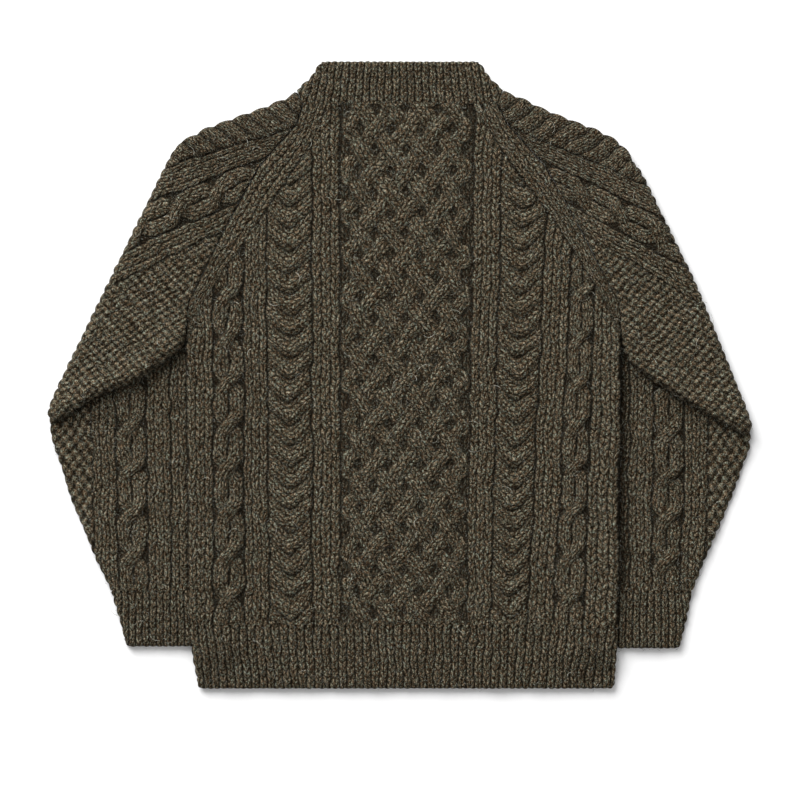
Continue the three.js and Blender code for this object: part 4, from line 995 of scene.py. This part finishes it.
risen = link_up("GeometryNodeSetPosition", None, Geometry=spread["Points"], Offset=(0, 0, 0.0007)).outputs[0]


def random_vector(low, high, seed):
    made = link_up("FunctionNodeRandomValue", {"data_type": "FLOAT_VECTOR"}, i0=low, i1=high, Seed=seed)
    return made.outputs[0]


arc = link_up("GeometryNodeCurveArc", {"mode": "RADIUS"}, Resolution=given["Bends"], Radius=given["Length"],
              Sweep_Angle=1.9).outputs[0]
profile = link_up("GeometryNodeCurvePrimitiveCircle", {"mode": "RADIUS"}, Resolution=3, Radius=given["Half width"]).outputs[0]
hair = link_up("GeometryNodeCurveToMesh", None, Curve=arc, Profile_Curve=profile).outputs[0]
placed = link_up("GeometryNodeInstanceOnPoints", None, Points=risen, Instance=hair,
                 Rotation=random_vector((-0.35, -0.35, 0), (0.35, 0.35, 6.28), 3),
                 Scale=random_vector((0.25, 0.1, 0.3), (0.9, 0.75, 0.9), 4)).outputs[0]
real = link_up("GeometryNodeRealizeInstances", None, Geometry=placed).outputs[0]
coloured = link_up("GeometryNodeSetMaterial", None, Geometry=real, Material=given["Wool"]).outputs[0]
given_out = link_up("NodeGroupOutput")
tree.links.new(coloured, given_out.inputs[0])

body_pieces = [back, back_hem, neckband]
for name, pieces, density, length, half_width, bends, seed, fibre_wool in [
        ("short_body", body_pieces, 33000, 0.0045, 0.00017, 3, 5, short_wool),
        ("short_sleeve", sleeve_pieces, 33000, 0.0045, 0.00017, 3, 25, short_wool),
        ("long", body_pieces + sleeve_pieces, 650, 0.0105, 0.0003, 9, 9, long_wool)]:
    grown = []
    for piece in pieces:
        ground_piece = bpy.data.objects.new("hair_ground", piece.data)
        bpy.context.scene.collection.objects.link(ground_piece)
        growth = ground_piece.modifiers.new("hairs", "NODES")
        growth.node_group = hairs
        for key, value in [("Hairs per square metre", float(density)), ("Length", length), ("Half width", half_width),
                           ("Bends", bends), ("Seed", seed + len(grown)), ("Wool", fibre_wool)]:
            growth[inputs[key].identifier] = value
        ready = ground_piece.evaluated_get(bpy.context.evaluated_depsgraph_get())
        grown.append(bpy.data.meshes.new_from_object(ready))
        bpy.data.objects.remove(ground_piece)
    verts, faces = [], []
    for mesh in grown:
        base = len(verts)
        verts += [tuple(v.co) for v in mesh.vertices]
        faces += [[base + k for k in face.vertices] for face in mesh.polygons]
    mesh = bpy.data.meshes.new(name + "_fibres")
    mesh.from_pydata(verts, [], faces)
    mesh.materials.append(fibre_wool)
    mesh.shade_smooth()
    fibres = bpy.data.objects.new(name + "_fibres", mesh)
    bpy.context.scene.collection.objects.link(fibres)
    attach(fibres, "root")
    print(name, "fibres", len(faces))

# Floor, light and camera: a white sweep, one broad soft light from the upper left, and a long
# lens straight above.
floor_mesh = bpy.data.meshes.new("floor")
floor_mesh.from_pydata([(-30, -30, 0), (30, -30, 0), (30, 30, 0), (-30, 30, 0)], [], [(0, 1, 2, 3)])
paper = bpy.data.materials.new("white_sweep")
paper.use_nodes = True
paper.node_tree.nodes["Principled BSDF"].inputs["Base Color"].default_value = (0.9, 0.9, 0.9, 1)
paper.node_tree.nodes["Principled BSDF"].inputs["Roughness"].default_value = 0.9
floor_mesh.materials.append(paper)
floor_object = bpy.data.objects.new("floor", floor_mesh)
bpy.context.scene.collection.objects.link(floor_object)

sky = bpy.data.worlds.new("soft_room")
bpy.context.scene.world = sky
sky.use_nodes = True
sky.node_tree.nodes["Background"].inputs["Color"].default_value = (1, 1, 1, 1)
sky.node_tree.nodes["Background"].inputs["Strength"].default_value = 0.52

softbox = bpy.data.lights.new("softbox", "AREA")
softbox.shape = "DISK"
softbox.size = 5.2
softbox.energy = 670
softbox_object = bpy.data.objects.new("softbox", softbox)
softbox_object.location = (-2.2, 4.4, 3.4)
softbox_object.rotation_euler = (Vector((0, 0, 0)) - softbox_object.location).to_track_quat("-Z", "Y").to_euler()
bpy.context.scene.collection.objects.link(softbox_object)

lens = bpy.data.cameras.new("camera")
lens.sensor_width = 36
lens.lens = 36 * 6 / 0.88
lens.clip_end = 100
camera = bpy.data.objects.new("camera", lens)
camera.location = (laid_at[0] * 0.001, laid_at[1] * 0.001 - 0.0275, 6)
bpy.context.scene.collection.objects.link(camera)
bpy.context.scene.camera = camera
bpy.context.scene.view_settings.view_transform = "Standard"
